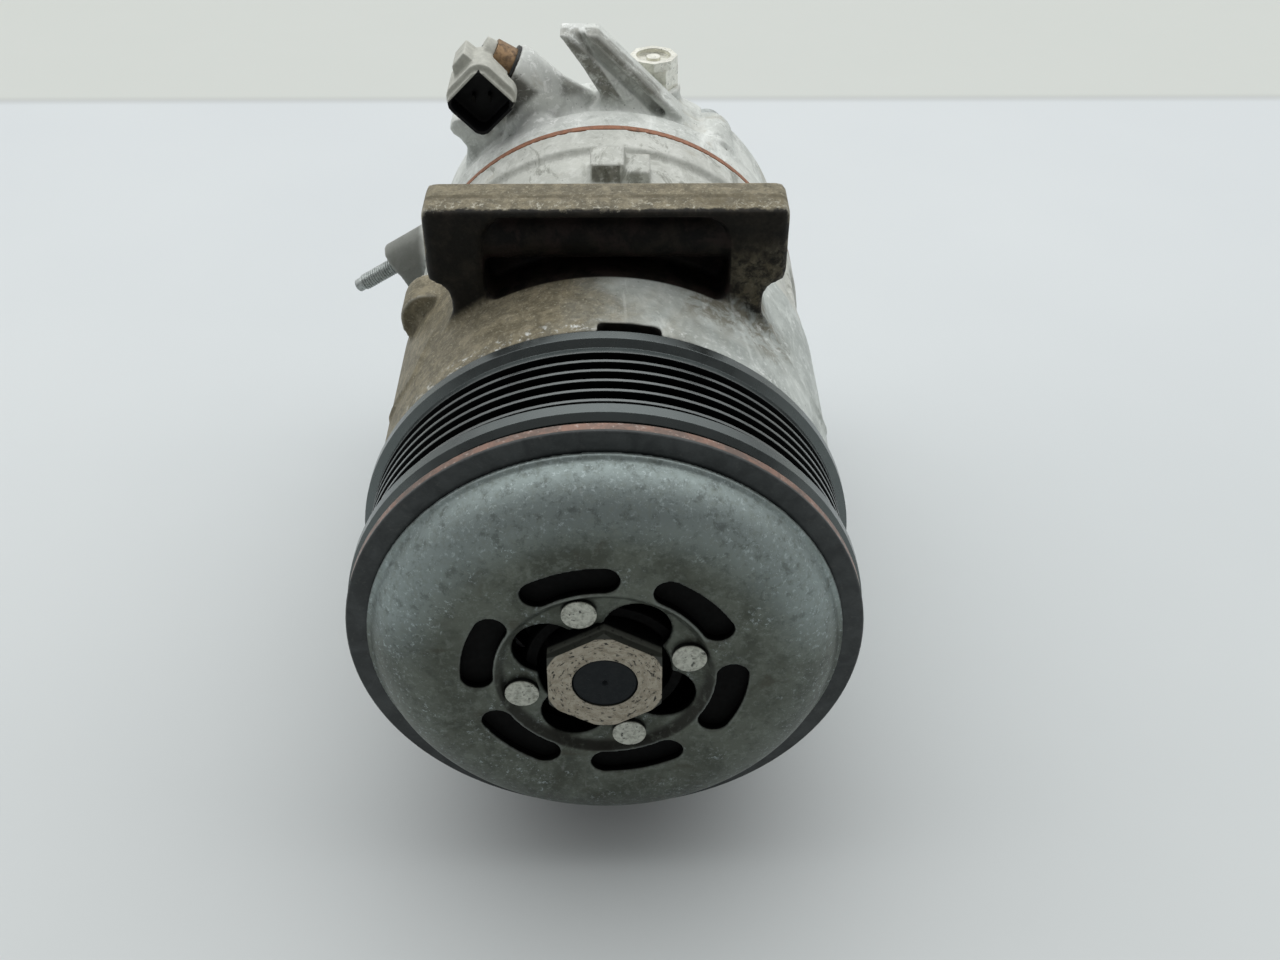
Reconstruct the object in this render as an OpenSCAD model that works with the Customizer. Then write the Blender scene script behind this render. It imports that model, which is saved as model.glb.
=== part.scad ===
// Electromagnetic clutch on the nose of a swash-plate air-conditioning compressor.
// Origin on the shaft axis, in the middle of the rib band. +Y runs along the shaft from the
// clutch to the rear head, +Z is up, +X is to the right when the clutch is faced. Millimetres.

/* [Belt pulley] */
// Number of V-ribs in the band
rib_count = 6; // [5:1:6]
// Pitch of the V-ribs
rib_pitch = 3.56; // [3.5:0.01:3.6]
// Diameter over the rib crests
crest_d = 109.2; // [108.6:0.1:109.8]
// Diameter over the two flanges of the band
flange_d = 112.8; // [112:0.1:114]
// Flat width left on each crest
crest_flat = 0.8; // [0.6:0.1:1]
// Depth of the grooves between crests
rib_depth = 3.1; // [2.6:0.1:3.2]

/* [Clutch] */
// Distance of the friction face from the middle of the rib band
face_dist = 16.2; // [15.8:0.1:16.4]
// Gap that the coil closes when it pulls the armature in
air_gap = 0.5; // [0.35:0.05:0.65]
// Diameter of the armature plate
armature_d = 112; // [110:0.5:113]
// Thickness of the armature plate
armature_t = 3.2; // [2.8:0.1:3.6]
// Height of the hub plate face above the armature
plate_h = 11.4; // [11:0.1:11.8]
// Sheet thickness of the hub plate
plate_t = 2.2; // [1.8:0.1:2.4]
// Radius of the rounded shoulder of the hub plate
shoulder_r = 14; // [13:0.5:15]
// Number of arc slots in the hub plate
slot_count = 6; // [4:1:6]
// Middle radius of the arc slots
slot_mid_r = 27.1; // [26.9:0.1:27.4]
// Width of the arc slots
slot_w = 6.8; // [5:0.1:6.8]
// Number of rivets that join hub and hub plate
rivet_count = 4; // [3:1:4]
// Pitch radius of those rivets
rivet_r = 18.5; // [18.3:0.1:18.7]
// Nut size across flats
nut_af = 24; // [22:0.5:24]

/* [Bearing and coil] */
// Bore of the pulley bearing
bearing_bore = 35; // [34.8:0.1:35.2]
// Outer diameter of the pulley bearing
bearing_od = 52; // [51.8:0.1:52.2]
// Width of the pulley bearing
bearing_w = 20; // [19:0.5:20]
// Balls in each of the two rows
balls_per_row = 12; // [10:1:13]
// Running clearance between the coil shell and the pulley
coil_gap = 0.7; // [0.5:0.1:0.9]

/* [Compressor] */
// Diameter of the front housing
body_d = 110; // [109:0.5:112]
// Diameter of the cylinder block and rear head flange
block_d = 108.6; // [108:0.2:109]
// Station where front housing and cylinder block meet
joint_y = 74; // [73:0.5:75]
// Station of the valve plate
valve_y = 122; // [120:0.5:123]
// Width of the mounting lugs
lug_w = 82; // [80:1:84]
// Height of the upper lug above the shaft axis
lug_top = 72; // [71:0.5:73]
// Depth of the lower lugs under the shaft axis, where the unit rests
lug_foot = 67; // [66.5:0.5:68]
// Diameter of the mounting bolt holes
lug_bore_d = 8.6; // [8.4:0.1:9]
// Number of cylinders
piston_count = 6; // [5:1:6]
// Diameter of the cylinder bores
piston_d = 24; // [22:0.5:24]
// Diameter of the drive shaft
shaft_d = 17; // [16.5:0.1:17.2]

/* [Hidden] */
$fn = 96;
// Overshoot of cutting tools past the face they open
eps = 0.5;

// Rib band and rotor
crest_r = crest_d / 2;
flange_r = flange_d / 2;
root_r = crest_r - rib_depth;
band_half = rib_count * rib_pitch / 2;
groove_top = rib_pitch - crest_flat;
groove_root = 0.5;
rim_front = -14.9;
rim_back = 16.1;
rim_in_r = 48.6;
web_t = 5;
tube_r = 31.3;
friction_r = 52.6;
flux_out_r = 43.4;
flux_in_r = 35.4;
flux_w = 2.1;
lip_h = 1.8;
clip_t = 1.2;

// Stations of the clutch along the shaft
face_y = -face_dist;
arm_back = face_y - air_gap;
arm_front = arm_back - armature_t;
carrier_t = 1.5;
carrier_y = arm_front - carrier_t;
plate_y = arm_front - plate_h;
plate_back = plate_y + plate_t;
recess = 1.6;
recess_y = plate_y + recess;
recess_back = recess_y + plate_t;
recess_r = slot_mid_r - slot_w / 2 - 0.4;
recess_slope = 1.7;
rivet_angle = 16;
rivet_shank_r = 2.6;
rivet_head_r = 3.65;
rivet_head_t = 1.35;
rivet_tail_r = 4;
rivet_tail_t = 1.4;
slot_angle = 45;
slot_span = 30;
hub_seat = recess_back + 4;
nut_front = plate_y - 1.8;
shaft_front = nut_front + 0.25;
shoulder_y = -11.5;
nut_hole_r = 14.1;
lobe_pitch_r = 14;
lobe_r = 7.2;

// Armature, damper and hub
arm_in_r = 30;
arm_slot_r = 39.4;
arm_slot_w = 2.4;
arm_rivets = 3;
arm_rivet_angle = 60;
arm_shank_r = 2.5;
arm_head_r = 4;
arm_head_t = 1.2;
carrier_in_r = 33;
carrier_out_r = 46.6;
damper_out_r = 46.4;
dish_r = armature_d / 2 - 4.6;
dish_lip = 0.6;
dish_gap = 0.2;
hub_ring_r = 16.8;
hub_well_r = 14.5;
hub_floor_r = 14.2;
hub_floor_t = 3.6;
hub_neck_r = 12;
hub_arm_w = 10;
shim_t = 0.25;
shim_r = 10.6;

// Bearing
bearing_front = -8;
bearing_back = bearing_front + bearing_w;
nose_r = bearing_bore / 2;
seat_r = bearing_od / 2;
race_in_r = nose_r + 2.7;
race_out_r = seat_r - 2.6;
ball_r = 2.5;
ball_clear = 0.15;
ball_pitch_r = (race_in_r + race_out_r) / 2;
ball_rows = [bearing_front + bearing_w * 0.27, bearing_back - bearing_w * 0.27];
cage_t = 1.2;
cage_w = 6.8;
seal_t = 0.8;
clip_y = bearing_back + 0.1;

// Coil
coil_in_r = tube_r + coil_gap;
coil_out_r = rim_in_r - coil_gap;
coil_front = face_y + web_t + 1;
coil_back = 15.4;
shell_t = 2;
bobbin_t = 1.3;
bobbin_gap = 0.6;
neck_r = 21;
coil_clip_y = coil_back - 1.3;
grommet_x = 5.5;
grommet_w = 13;
grommet_y = 16.7;
grommet_t = 4.6;
notch_r = 44;
notch_y = 23.4;

// Front housing
wall_y = 17.4;
nose_y = -11;
body_r = body_d / 2;
body_edge = 1.2;
case_r = 45;
case_front = 27;
seal_r = 12;
seal_clip_y = -9.4;
front_bearing_r = 11;

// Mounting lugs
lug_y = 41;
lug_d = 13.8;
lug_shift = 0.5;
lug_bar_h = 18.4;
lug_neck = lug_w / 2 - 5.3;
lug_edge = 2.5;
lug_crown = 0.9;
pocket_w = lug_w - 26.4;
pocket_wall = 2.4;
bolt_tube_r = lug_bore_d / 2 + 1.7;
lower_lug_y = 24;
lower_bar_h = 15;
rear_lug_y = 140;
rear_lug_w = 28;
rear_lug_d = 16;
bore_z = lug_top - 9;
lower_bore_z = body_r + lug_bore_d / 2 + 0.4;

// Cylinder block and valve plate
block_r = block_d / 2;
block_step = 1.9;
gasket_t = 0.4;
valve_t = 1.4;
suction_hole = [37, 4];
discharge_hole = [26, 3];

// Rear head
head_y = valve_y + valve_t + gasket_t;
head_flange_y = 134;
head_back = 164;
head_r = 52.6;
head_edge = 8;
chamber_back = head_y + 15;

// Housing bolts
bolt_count = 6;
bolt_r = 3;
bolt_clear = 0.2;
bolt_pitch_r = 48.3;
bolt_angle = 53;
bolt_boss_r = 7.4;
bolt_seat_y = 152;
bolt_head_r = 5;
bolt_head_t = 6;
bolt_end_y = joint_y - 15;

// Shaft and pump
shaft_r = shaft_d / 2;
run_gap = 0.05;
hub_r = 7.5;
thread_r = 7;
shaft_back = 112;
lug_plate_y = case_front + 3;
lug_plate_r = 36;
piston_pitch_r = 32;
piston_angle = 30;
piston_y = [41, 116];
swash_y = 56;
swash_t = 8;
swash_r = 40;
swash_hub_r = 15;
shoe_r = 9.5;
shoe_gap = 0.1;
rear_bearing_y = [90, 106];

// Control valve: axis rising to the left, socket facing forward
valve_axis_y = 144;
valve_tilt = 30;
valve_mouth = [-27.3, valve_axis_y, 61.6];
valve_r = 6.3;
valve_stem_r = 4.2;
valve_step = -5;
valve_out = 6.5;
collar_r = 8.2;
collar_l = 3;
socket_c = [-34.7, 58.2];
socket_side = 14.6;
socket_wall = 0.9;
socket_front = 129;
socket_depth = 6.2;
connector_back = valve_axis_y - 1;

// Ear on the rear head, leaning to the left
ear_y = 138;
ear_d = 10;
ear_w = 7.8;
ear_top = 74;
ear_off = 46.6;
ear_tilt = 45;
ear_groove = 2.4;

// Pressure relief valve
relief_at = [13.2, 157];
relief_seat = 52;
relief_hex = 12.4;
relief_cap_r = 7;

// Refrigerant ports: a face turned down and to the left
port_tilt = 211;
port_face = 50.8;
port_y = 148;
port_t = [-17, 3];
port_r = [5.5, 7.5];
port_pad = [-26, 15];
port_pad_y = [139, 157.5];
port_depth = 15;
stud_y = 132;
stud_t = -38.4;
stud_r = 2.4;
stud_root_r = 2.1;
stud_relief = 0.5;
stud_l = 12;
stud_boss_r = 4.8;

// Profile given as radius and station, turned about the shaft axis
module revolve() {
    rotate([-90, 0, 0]) rotate_extrude() children();
}

// Front view outline, x across and y up, standing between two stations
module plate(y0, y1) {
    translate([0, y1, 0]) rotate([90, 0, 0]) linear_extrude(y1 - y0) children();
}

// Side view outline, x along the shaft and y up, of a given width
module slab(w) {
    rotate([90, 0, 90]) translate([0, 0, -w / 2]) linear_extrude(w) children();
}

// Ring about the shaft axis
module tube(r_in, r_out, y0, y1) {
    revolve() translate([r_in, y0]) square([r_out - r_in, y1 - y0]);
}

// Straight rod parallel to the shaft
module rod(r, y0, y1) {
    translate([0, y0, 0]) rotate([-90, 0, 0]) cylinder(r = r, h = y1 - y0);
}

// Straight rod across the shaft, centred
module cross_rod(r, w, y, z) {
    translate([0, y, z]) rotate([0, 90, 0]) cylinder(r = r, h = w, center = true);
}

// Turned about the shaft from +X toward +Z
module turned(angle, r = 0) {
    rotate([0, -angle, 0]) translate([r, 0, 0]) children();
}

// Copies spaced evenly about the shaft
module around(n, r, start = 0) {
    for (i = [0 : n - 1]) turned(start + 360 / n * i, r) children();
}

// Rectangle with round corners, centred
module round_rect(w, h, r) {
    square([w - 2 * r, h], center = true);
    square([w, h - 2 * r], center = true);
    for (sx = [-1, 1], sy = [-1, 1])
        translate([sx * (w / 2 - r), sy * (h / 2 - r)]) circle(r);
}

// Arc slot with round ends a hair fuller than its width, its middle on the x axis
module arc_slot(r, w, span) {
    reach = r + w;
    end_r = w / 2 + 0.05;
    intersection() {
        difference() {
            circle(r + w / 2);
            circle(r - w / 2);
        }
        polygon([[0, 0], reach * [cos(span / 2), -sin(span / 2)], [reach / cos(span / 2), 0],
            reach * [cos(span / 2), sin(span / 2)]]);
    }
    for (side = [-1, 1]) rotate(side * span / 2) translate([r, 0]) circle(end_r);
}

// Retaining ring with its gap
module circlip(r_in, r_out, y0, y1, gap) {
    difference() {
        tube(r_in, r_out, y0, y1);
        translate([0, y0 - eps, -gap / 2 - r_out])
            cube([gap, y1 - y0 + 2 * eps, r_out]);
    }
}

// Belt pulley with its friction face

function groove(c) = [[crest_r, c - groove_top / 2], [root_r, c - groove_root / 2],
    [root_r, c + groove_root / 2], [crest_r, c + groove_top / 2]];

module pulley_profile() {
    band_edge = band_half - crest_flat / 2;
    polygon(concat(
        [[friction_r, rim_front], [flange_r - 1.5, rim_front], [flange_r, rim_front + 1.1],
            [flange_r, -band_edge - 0.6]],
        [for (i = [0 : rib_count - 1], p = groove((i - (rib_count - 1) / 2) * rib_pitch)) p],
        [[crest_r, band_edge + 1.7], [flange_r, band_edge + 2.7],
            [flange_r, rim_back - 0.4], [flange_r - 0.4, rim_back], [rim_in_r, rim_back],
            [rim_in_r, face_y + web_t], [tube_r, face_y + web_t], [tube_r, clip_y + 2],
            [seat_r, clip_y + 2], [seat_r, clip_y + clip_t], [seat_r + clip_t, clip_y + clip_t],
            [seat_r + clip_t, clip_y], [seat_r, clip_y], [seat_r, bearing_front],
            [seat_r - lip_h, bearing_front], [seat_r - lip_h, face_y], [friction_r, face_y]]));
}

module belt_pulley() {
    color([0.13, 0.14, 0.15])
    difference() {
        revolve() pulley_profile();
        plate(face_y - eps, face_y + web_t + eps) {
            for (a = [0 : 60 : 300]) rotate(a) arc_slot(flux_out_r, flux_w, 44);
            for (a = [45 : 90 : 315]) rotate(a) arc_slot(flux_in_r, flux_w, 62);
        }
    }
}

module pulley_circlip() {
    color("dimgray") circlip(seat_r - 1.6, seat_r + 1.1, clip_y, clip_y + clip_t, 5);
}

// Double-row ball bearing

module race_tracks() {
    for (y = ball_rows) translate([ball_pitch_r, y]) circle(ball_r + ball_clear);
}

module bearing_outer_race() {
    color("silver")
    revolve() difference() {
        translate([race_out_r, bearing_front]) square([seat_r - race_out_r, bearing_w]);
        race_tracks();
    }
}

module bearing_inner_race() {
    color("silver")
    revolve() difference() {
        translate([nose_r, bearing_front]) square([race_in_r - nose_r, bearing_w]);
        race_tracks();
    }
}

module bearing_balls() {
    color("gainsboro")
    for (row = [0, 1])
        around(balls_per_row, ball_pitch_r, row * 180 / balls_per_row)
            translate([0, ball_rows[row], 0]) sphere(ball_r);
}

module bearing_cages() {
    color("burlywood")
    for (row = [0, 1]) difference() {
        tube(ball_pitch_r - cage_t / 2, ball_pitch_r + cage_t / 2,
            ball_rows[row] - cage_w / 2, ball_rows[row] + cage_w / 2);
        around(balls_per_row, ball_pitch_r, row * 180 / balls_per_row)
            translate([0, ball_rows[row], 0]) rotate([0, 90, 0])
                cylinder(r = ball_r + ball_clear, h = 4 * cage_t, center = true);
    }
}

module bearing_seals() {
    inset = 0.3;
    color([0.1, 0.1, 0.1])
    for (y = [bearing_front + inset, bearing_back - inset - seal_t])
        tube(race_in_r + inset, race_out_r, y, y + seal_t);
}

module nose_circlip() {
    color("dimgray") circlip(nose_r - 0.8, nose_r + 2.2, bearing_front - clip_t, bearing_front, 5);
}

// Field coil on the front wall of the housing

// Notch at the top of the front wall, where the coil lead leaves
module grommet_space(gap) {
    w = grommet_w + 2 * gap;
    translate([grommet_x - w / 2, coil_back, notch_r]) cube([w, notch_y - coil_back, 20]);
}

module coil_shell() {
    color([0.35, 0.34, 0.33])
    difference() {
        revolve() {
            difference() {
                translate([coil_in_r, coil_front])
                    square([coil_out_r - coil_in_r, coil_back - coil_front]);
                translate([coil_in_r + shell_t, coil_front - eps])
                    square([coil_out_r - coil_in_r - 2 * shell_t, coil_back - coil_front - shell_t + eps]);
            }
            translate([neck_r, coil_back]) square([coil_out_r - neck_r, wall_y - coil_back]);
        }
        grommet_space(0);
    }
}

module coil_bobbin() {
    front = coil_front + bobbin_gap;
    back = coil_back - shell_t;
    color([0.12, 0.12, 0.13])
    revolve() difference() {
        translate([coil_in_r + shell_t, front])
            square([coil_out_r - coil_in_r - 2 * shell_t, back - front]);
        translate([coil_in_r + shell_t + bobbin_t, front + bobbin_t])
            square([coil_out_r - coil_in_r, back - front - 2 * bobbin_t]);
    }
}

module coil_winding() {
    color("chocolate")
    tube(coil_in_r + shell_t + bobbin_t, coil_out_r - shell_t, coil_front + bobbin_gap + bobbin_t,
        coil_back - shell_t - bobbin_t);
}

module coil_circlip() {
    color("dimgray") circlip(neck_r - 0.8, neck_r + 3.4, coil_clip_y, coil_back, 6);
}

// Outlet of the coil lead, with two lead holes
module coil_grommet() {
    top_r = coil_out_r + 4;
    color([0.08, 0.08, 0.08])
    difference() {
        intersection() {
            translate([grommet_x - grommet_w / 2, grommet_y, notch_r]) cube([grommet_w, grommet_t, 20]);
            rod(top_r, grommet_y, grommet_y + grommet_t);
        }
        for (side = [-1, 1])
            translate([grommet_x + side * 2.8, grommet_y + grommet_t / 2, notch_r + 2])
                cylinder(r = 1.2, h = 20);
    }
}

// Armature, driven by the hub through the rubber damper

module armature_plate() {
    edge = 0.3;
    out_r = armature_d / 2;
    color([0.5, 0.42, 0.36])
    difference() {
        revolve() polygon([[arm_in_r, arm_back], [out_r - edge, arm_back], [out_r, arm_back - edge],
            [out_r, arm_front + edge], [out_r - edge, arm_front], [arm_in_r, arm_front]]);
        plate(arm_front - eps, arm_back + eps)
            for (a = [0 : 120 : 240]) rotate(a) arc_slot(arm_slot_r, arm_slot_w, 84);
        around(arm_rivets, arm_slot_r, arm_rivet_angle) {
            rod(arm_shank_r, arm_front - eps, arm_back + eps);
            rod(arm_head_r, arm_back - arm_head_t, arm_back + eps);
        }
    }
}

module armature_carrier() {
    color([0.3, 0.3, 0.3])
    difference() {
        tube(carrier_in_r, carrier_out_r, carrier_y, arm_front);
        around(arm_rivets, arm_slot_r, arm_rivet_angle) rod(arm_shank_r, carrier_y - eps, arm_front + eps);
    }
}

module armature_rivets() {
    sunk = 0.2;
    color("gray")
    around(arm_rivets, arm_slot_r, arm_rivet_angle) {
        rod(arm_shank_r, carrier_y, arm_back - sunk);
        rod(arm_head_r, arm_back - arm_head_t, arm_back - sunk);
        rod(arm_head_r, carrier_y - arm_head_t, carrier_y);
    }
}

// Half section of the domed hub plate's filled shape, set back by a wall
module dome_region(wall) {
    dome_r = dish_r - dish_lip;
    centre_r = dome_r - sqrt(pow(shoulder_r, 2) - pow(shoulder_r - plate_h, 2));
    base_y = arm_front - dish_gap;
    intersection() {
        union() {
            translate([0, plate_y + wall]) square([centre_r, plate_h]);
            translate([centre_r, plate_y + shoulder_r]) circle(shoulder_r - wall);
        }
        translate([0, plate_y - eps]) square([armature_d / 2, base_y - plate_y + eps]);
    }
}

// Rubber ring, its thin lip closing the slots from behind
module damper_ring() {
    head_room = 0.6;
    lip_in_r = recess_r + 0.2;
    lip_t = 1.5;
    color([0.05, 0.05, 0.05])
    difference() {
        revolve() {
            intersection() {
                dome_region(plate_t);
                translate([carrier_in_r, plate_y])
                    square([damper_out_r - carrier_in_r, carrier_y - plate_y]);
            }
            translate([lip_in_r, plate_back]) square([carrier_in_r + 1 - lip_in_r, lip_t]);
        }
        around(arm_rivets, arm_slot_r, arm_rivet_angle)
            rod(arm_head_r + head_room, carrier_y - arm_head_t - 1, carrier_y + eps);
    }
}

// Four-lobed opening round the nut
module lobed_opening() {
    circle(nut_hole_r);
    for (i = [0 : rivet_count - 1])
        rotate(rivet_angle + 360 / rivet_count * (i + 0.5)) translate([lobe_pitch_r, 0]) circle(lobe_r);
}

module hub_plate() {
    seat_gap = 0.2;
    lip_t = 1.2;
    lip_y = arm_front - dish_gap;
    color([0.38, 0.42, 0.4])
    difference() {
        revolve() {
            difference() {
                dome_region(0);
                dome_region(plate_t);
            }
            translate([dish_r - dish_lip - 1, lip_y - lip_t]) square([dish_lip + 1, lip_t]);
            translate([0, plate_y]) square([recess_r - 0.3, recess + plate_t]);
        }
        revolve() polygon([[0, plate_y - eps], [recess_r + eps * recess_slope / recess, plate_y - eps],
            [recess_r - recess_slope, recess_y], [0, recess_y]]);
        plate(plate_y - eps, recess_back + eps) {
            lobed_opening();
            for (i = [0 : slot_count - 1])
                rotate(slot_angle + 360 / slot_count * i) arc_slot(slot_mid_r, slot_w, slot_span);
        }
        around(rivet_count, rivet_r, rivet_angle) {
            rod(rivet_shank_r, plate_y, recess_back + eps);
            rod(rivet_head_r + seat_gap, plate_y - eps, recess_y);
        }
    }
}

module hub() {
    arm_back_y = hub_seat + rivet_tail_t;
    foot_y = shoulder_y - 2 * shim_t;
    color([0.16, 0.16, 0.17])
    difference() {
        union() {
            plate(recess_back, arm_back_y) {
                circle(hub_ring_r);
                for (i = [0 : rivet_count - 1]) rotate(rivet_angle + 360 / rivet_count * i) {
                    translate([0, -hub_arm_w / 2]) square([rivet_r, hub_arm_w]);
                    translate([rivet_r, 0]) circle(hub_arm_w / 2);
                }
            }
            rod(hub_floor_r, hub_seat, hub_seat + hub_floor_t);
            revolve() polygon([[0, hub_seat], [hub_floor_r - 0.5, hub_seat + hub_floor_t - 0.2],
                [hub_neck_r, hub_seat + hub_floor_t + 2], [hub_neck_r, foot_y], [0, foot_y]]);
        }
        rod(hub_well_r, recess_back - eps, hub_seat);
        rod(hub_r, recess_back, shoulder_y + eps);
        around(rivet_count, rivet_r, rivet_angle) rod(rivet_shank_r, recess_back - eps, arm_back_y + eps);
    }
}

module hub_rivets() {
    head_y = recess_y - rivet_head_t;
    tail_y = hub_seat + rivet_tail_t;
    color("whitesmoke")
    around(rivet_count, rivet_r, rivet_angle) {
        rod(rivet_shank_r, head_y, tail_y + rivet_tail_t);
        rod(rivet_head_r, head_y, recess_y);
        rod(rivet_tail_r, tail_y, tail_y + rivet_tail_t);
    }
}

module gap_shims() {
    color("lightgray")
    for (i = [1, 2]) tube(hub_r, shim_r, shoulder_y - i * shim_t, shoulder_y - (i - 1) * shim_t);
}

module shaft_nut() {
    corner_r = nut_af / sqrt(3);
    chamfer_r = nut_af / 2 + 0.7;
    color([0.62, 0.58, 0.52])
    intersection() {
        difference() {
            plate(nut_front, hub_seat) rotate(30) circle(corner_r, $fn = 6);
            rod(thread_r, nut_front - eps, hub_seat + eps);
        }
        revolve() polygon([[0, nut_front], [chamfer_r, nut_front], [corner_r + 0.1, nut_front + 0.9],
            [corner_r + 0.1, hub_seat], [0, hub_seat]]);
    }
}

module drive_shaft() {
    dimple = 0.8;
    edge = 0.4;
    color([0.3, 0.29, 0.28])
    difference() {
        revolve() polygon([[0, shaft_front], [thread_r - edge, shaft_front], [thread_r, shaft_front + edge],
            [thread_r, hub_seat], [hub_r, hub_seat], [hub_r, shoulder_y], [shaft_r, shoulder_y],
            [shaft_r, shaft_back - 1], [shaft_r - 1, shaft_back], [0, shaft_back]]);
        translate([0, shaft_front - 0.01, 0]) rotate([-90, 0, 0]) cylinder(r1 = dimple, r2 = 0, h = dimple);
    }
}

// Front housing: nose, crankcase wall and mounting lugs

// Lug seen from the front: a bar on a narrower neck that flares onto the body
module lug_outline(top, bar_h) {
    fillet = 5;
    flare = 6;
    bar_z = top - bar_h;
    translate([0, top - bar_h / 2]) round_rect(lug_w, bar_h, lug_edge);
    translate([-lug_neck, 30]) square([2 * lug_neck, bar_z - 28]);
    for (side = [-1, 1]) {
        difference() {
            translate([side * (lug_neck + fillet / 2), bar_z - fillet / 2 + 0.5])
                square([fillet, fillet + 1], center = true);
            translate([side * (lug_neck + fillet), bar_z - fillet]) circle(fillet);
        }
        polygon([[side * (lug_neck - 1), 47], [side * (lug_neck - 1), 34],
            [side * (lug_neck + flare), 34]]);
    }
}

// Lug seen from the side, its top falling toward the front by the crown
module lug_side(top, y0, crown) {
    edge = 1.2;
    polygon([[y0, 20], [y0, top - crown], [y0 + lug_d / 2, top], [y0 + lug_d - edge, top],
        [y0 + lug_d, top - edge], [y0 + lug_d, 20]]);
}

module lug(top, bar_h, y0, bore, crown) {
    difference() {
        intersection() {
            plate(y0, y0 + lug_d) lug_outline(top, bar_h);
            translate([0, y0 + lug_d / 2, 0]) linear_extrude(top + 1) round_rect(lug_w, lug_d, 2);
            slab(lug_w + 1) lug_side(top, y0, crown);
        }
        cross_rod(lug_bore_d / 2, lug_w + 2, y0 + lug_d / 2, bore);
    }
}

// Hollow in the front of the upper lug, round the tube that the bolt passes through
module lug_pocket() {
    back_wall = 3;
    h = 22.6;
    difference() {
        plate(lug_y - eps, lug_y + lug_d - back_wall)
            translate([0, lug_top - pocket_wall - h / 2]) round_rect(pocket_w, h, 6.5);
        cross_rod(bolt_tube_r, lug_w, lug_y + lug_d / 2, bore_z);
        translate([-lug_w / 2, lug_y + lug_d / 2, bore_z]) cube([lug_w, lug_d, h]);
    }
}

module front_housing_outside() {
    revolve() polygon([[0, nose_y], [nose_r - 1, nose_y], [nose_r, nose_y + 1],
        [nose_r, bearing_front - clip_t], [nose_r - 0.8, bearing_front - clip_t],
        [nose_r - 0.8, bearing_front], [nose_r, bearing_front], [nose_r, bearing_back],
        [neck_r, bearing_back], [neck_r, coil_clip_y], [neck_r - 0.8, coil_clip_y],
        [neck_r - 0.8, coil_back], [neck_r, coil_back], [neck_r, wall_y], [body_r - body_edge, wall_y],
        [body_r, wall_y + body_edge], [body_r, joint_y], [0, joint_y]]);
    translate([lug_shift, 0, 0]) difference() {
        lug(lug_top, lug_bar_h, lug_y, bore_z, lug_crown);
        lug_pocket();
    }
    mirror([0, 0, 1]) lug(lug_foot, lower_bar_h, lower_lug_y, lower_bore_z, 0);
    turned(146, body_r - 2) rod(7.6, joint_y - 11, joint_y - 0.3);
}

module front_housing() {
    color([0.48, 0.44, 0.38])
    difference() {
        front_housing_outside();
        revolve() polygon([[0, nose_y - eps], [seal_r, nose_y - eps], [seal_r, seal_clip_y],
            [seal_r + 0.8, seal_clip_y], [seal_r + 0.8, seal_clip_y + clip_t],
            [seal_r, seal_clip_y + clip_t], [seal_r, 1], [front_bearing_r, 2], [front_bearing_r, 24],
            [shaft_r + 1, 24], [shaft_r + 1, case_front], [case_r - 4, case_front],
            [case_r, case_front + 4], [case_r, joint_y + eps], [0, joint_y + eps]]);
        grommet_space(0.3);
        around(bolt_count, bolt_pitch_r, bolt_angle) rod(bolt_r, bolt_end_y - 1, joint_y + eps);
    }
}

module shaft_seal() {
    lip_r = shaft_r + run_gap;
    color([0.1, 0.1, 0.12])
    revolve() polygon([[lip_r, -6], [9.4, -8.1], [seal_r, -8.1], [seal_r, 0], [10.8, 0], [10.8, -5],
        [lip_r, -4]]);
}

module seal_circlip() {
    color("dimgray") circlip(seal_r - 1.4, seal_r + 0.7, seal_clip_y, seal_clip_y + clip_t, 4);
}

module front_bearing() {
    color("silver") tube(shaft_r + run_gap, front_bearing_r, 6, 23);
}

module thrust_bearing() {
    color("silver") tube(12, 24, case_front, lug_plate_y - 0.1);
}

// Pump parts on the shaft and in the cylinders

module lug_plate() {
    y0 = lug_plate_y;
    color([0.35, 0.35, 0.35])
    difference() {
        union() {
            rod(lug_plate_r, y0, y0 + 8);
            rod(swash_hub_r, y0, y0 + 12);
            for (side = [-1, 1])
                translate([side * 5 - 2, y0 + 6, 12]) cube([4, 12, 7]);
        }
        rod(shaft_r, y0 - eps, y0 + 12 + eps);
    }
}

module swash_plate() {
    y0 = swash_y - swash_t / 2;
    color([0.45, 0.44, 0.42])
    difference() {
        union() {
            rod(swash_r, y0, y0 + swash_t);
            rod(swash_hub_r, y0 - 3, y0 + swash_t + 4);
            translate([-2.5, y0 - 6, 12]) cube([5, 8, 7]);
        }
        rod(shaft_r, y0 - 10, y0 + swash_t + 6);
    }
}

module pistons() {
    slot_half = swash_t / 2 + 1;
    color("lightgray")
    difference() {
        around(piston_count, piston_pitch_r, piston_angle)
            rod(piston_d / 2 - run_gap, piston_y[0], piston_y[1]);
        rod(swash_r + 1.5, swash_y - slot_half, swash_y + slot_half);
        around(piston_count, piston_pitch_r, piston_angle)
            translate([0, swash_y, 0]) sphere(shoe_r + run_gap);
    }
}

module piston_shoes() {
    flat = swash_t / 2 + shoe_gap;
    color("silver")
    around(piston_count, piston_pitch_r, piston_angle)
        for (side = [-1, 1]) intersection() {
            translate([0, swash_y, 0]) sphere(shoe_r);
            translate([0, swash_y + side * (flat + shoe_r / 2), 0])
                cube([2 * shoe_r + 1, shoe_r, 2 * shoe_r + 1], center = true);
        }
}

module rear_bearing() {
    color("silver") tube(shaft_r + run_gap, front_bearing_r, rear_bearing_y[0], rear_bearing_y[1]);
}

// Holes that the housing bolts pass through
module bolt_holes(y0, y1) {
    around(bolt_count, bolt_pitch_r, bolt_angle) rod(bolt_r + bolt_clear, y0, y1);
}

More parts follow.
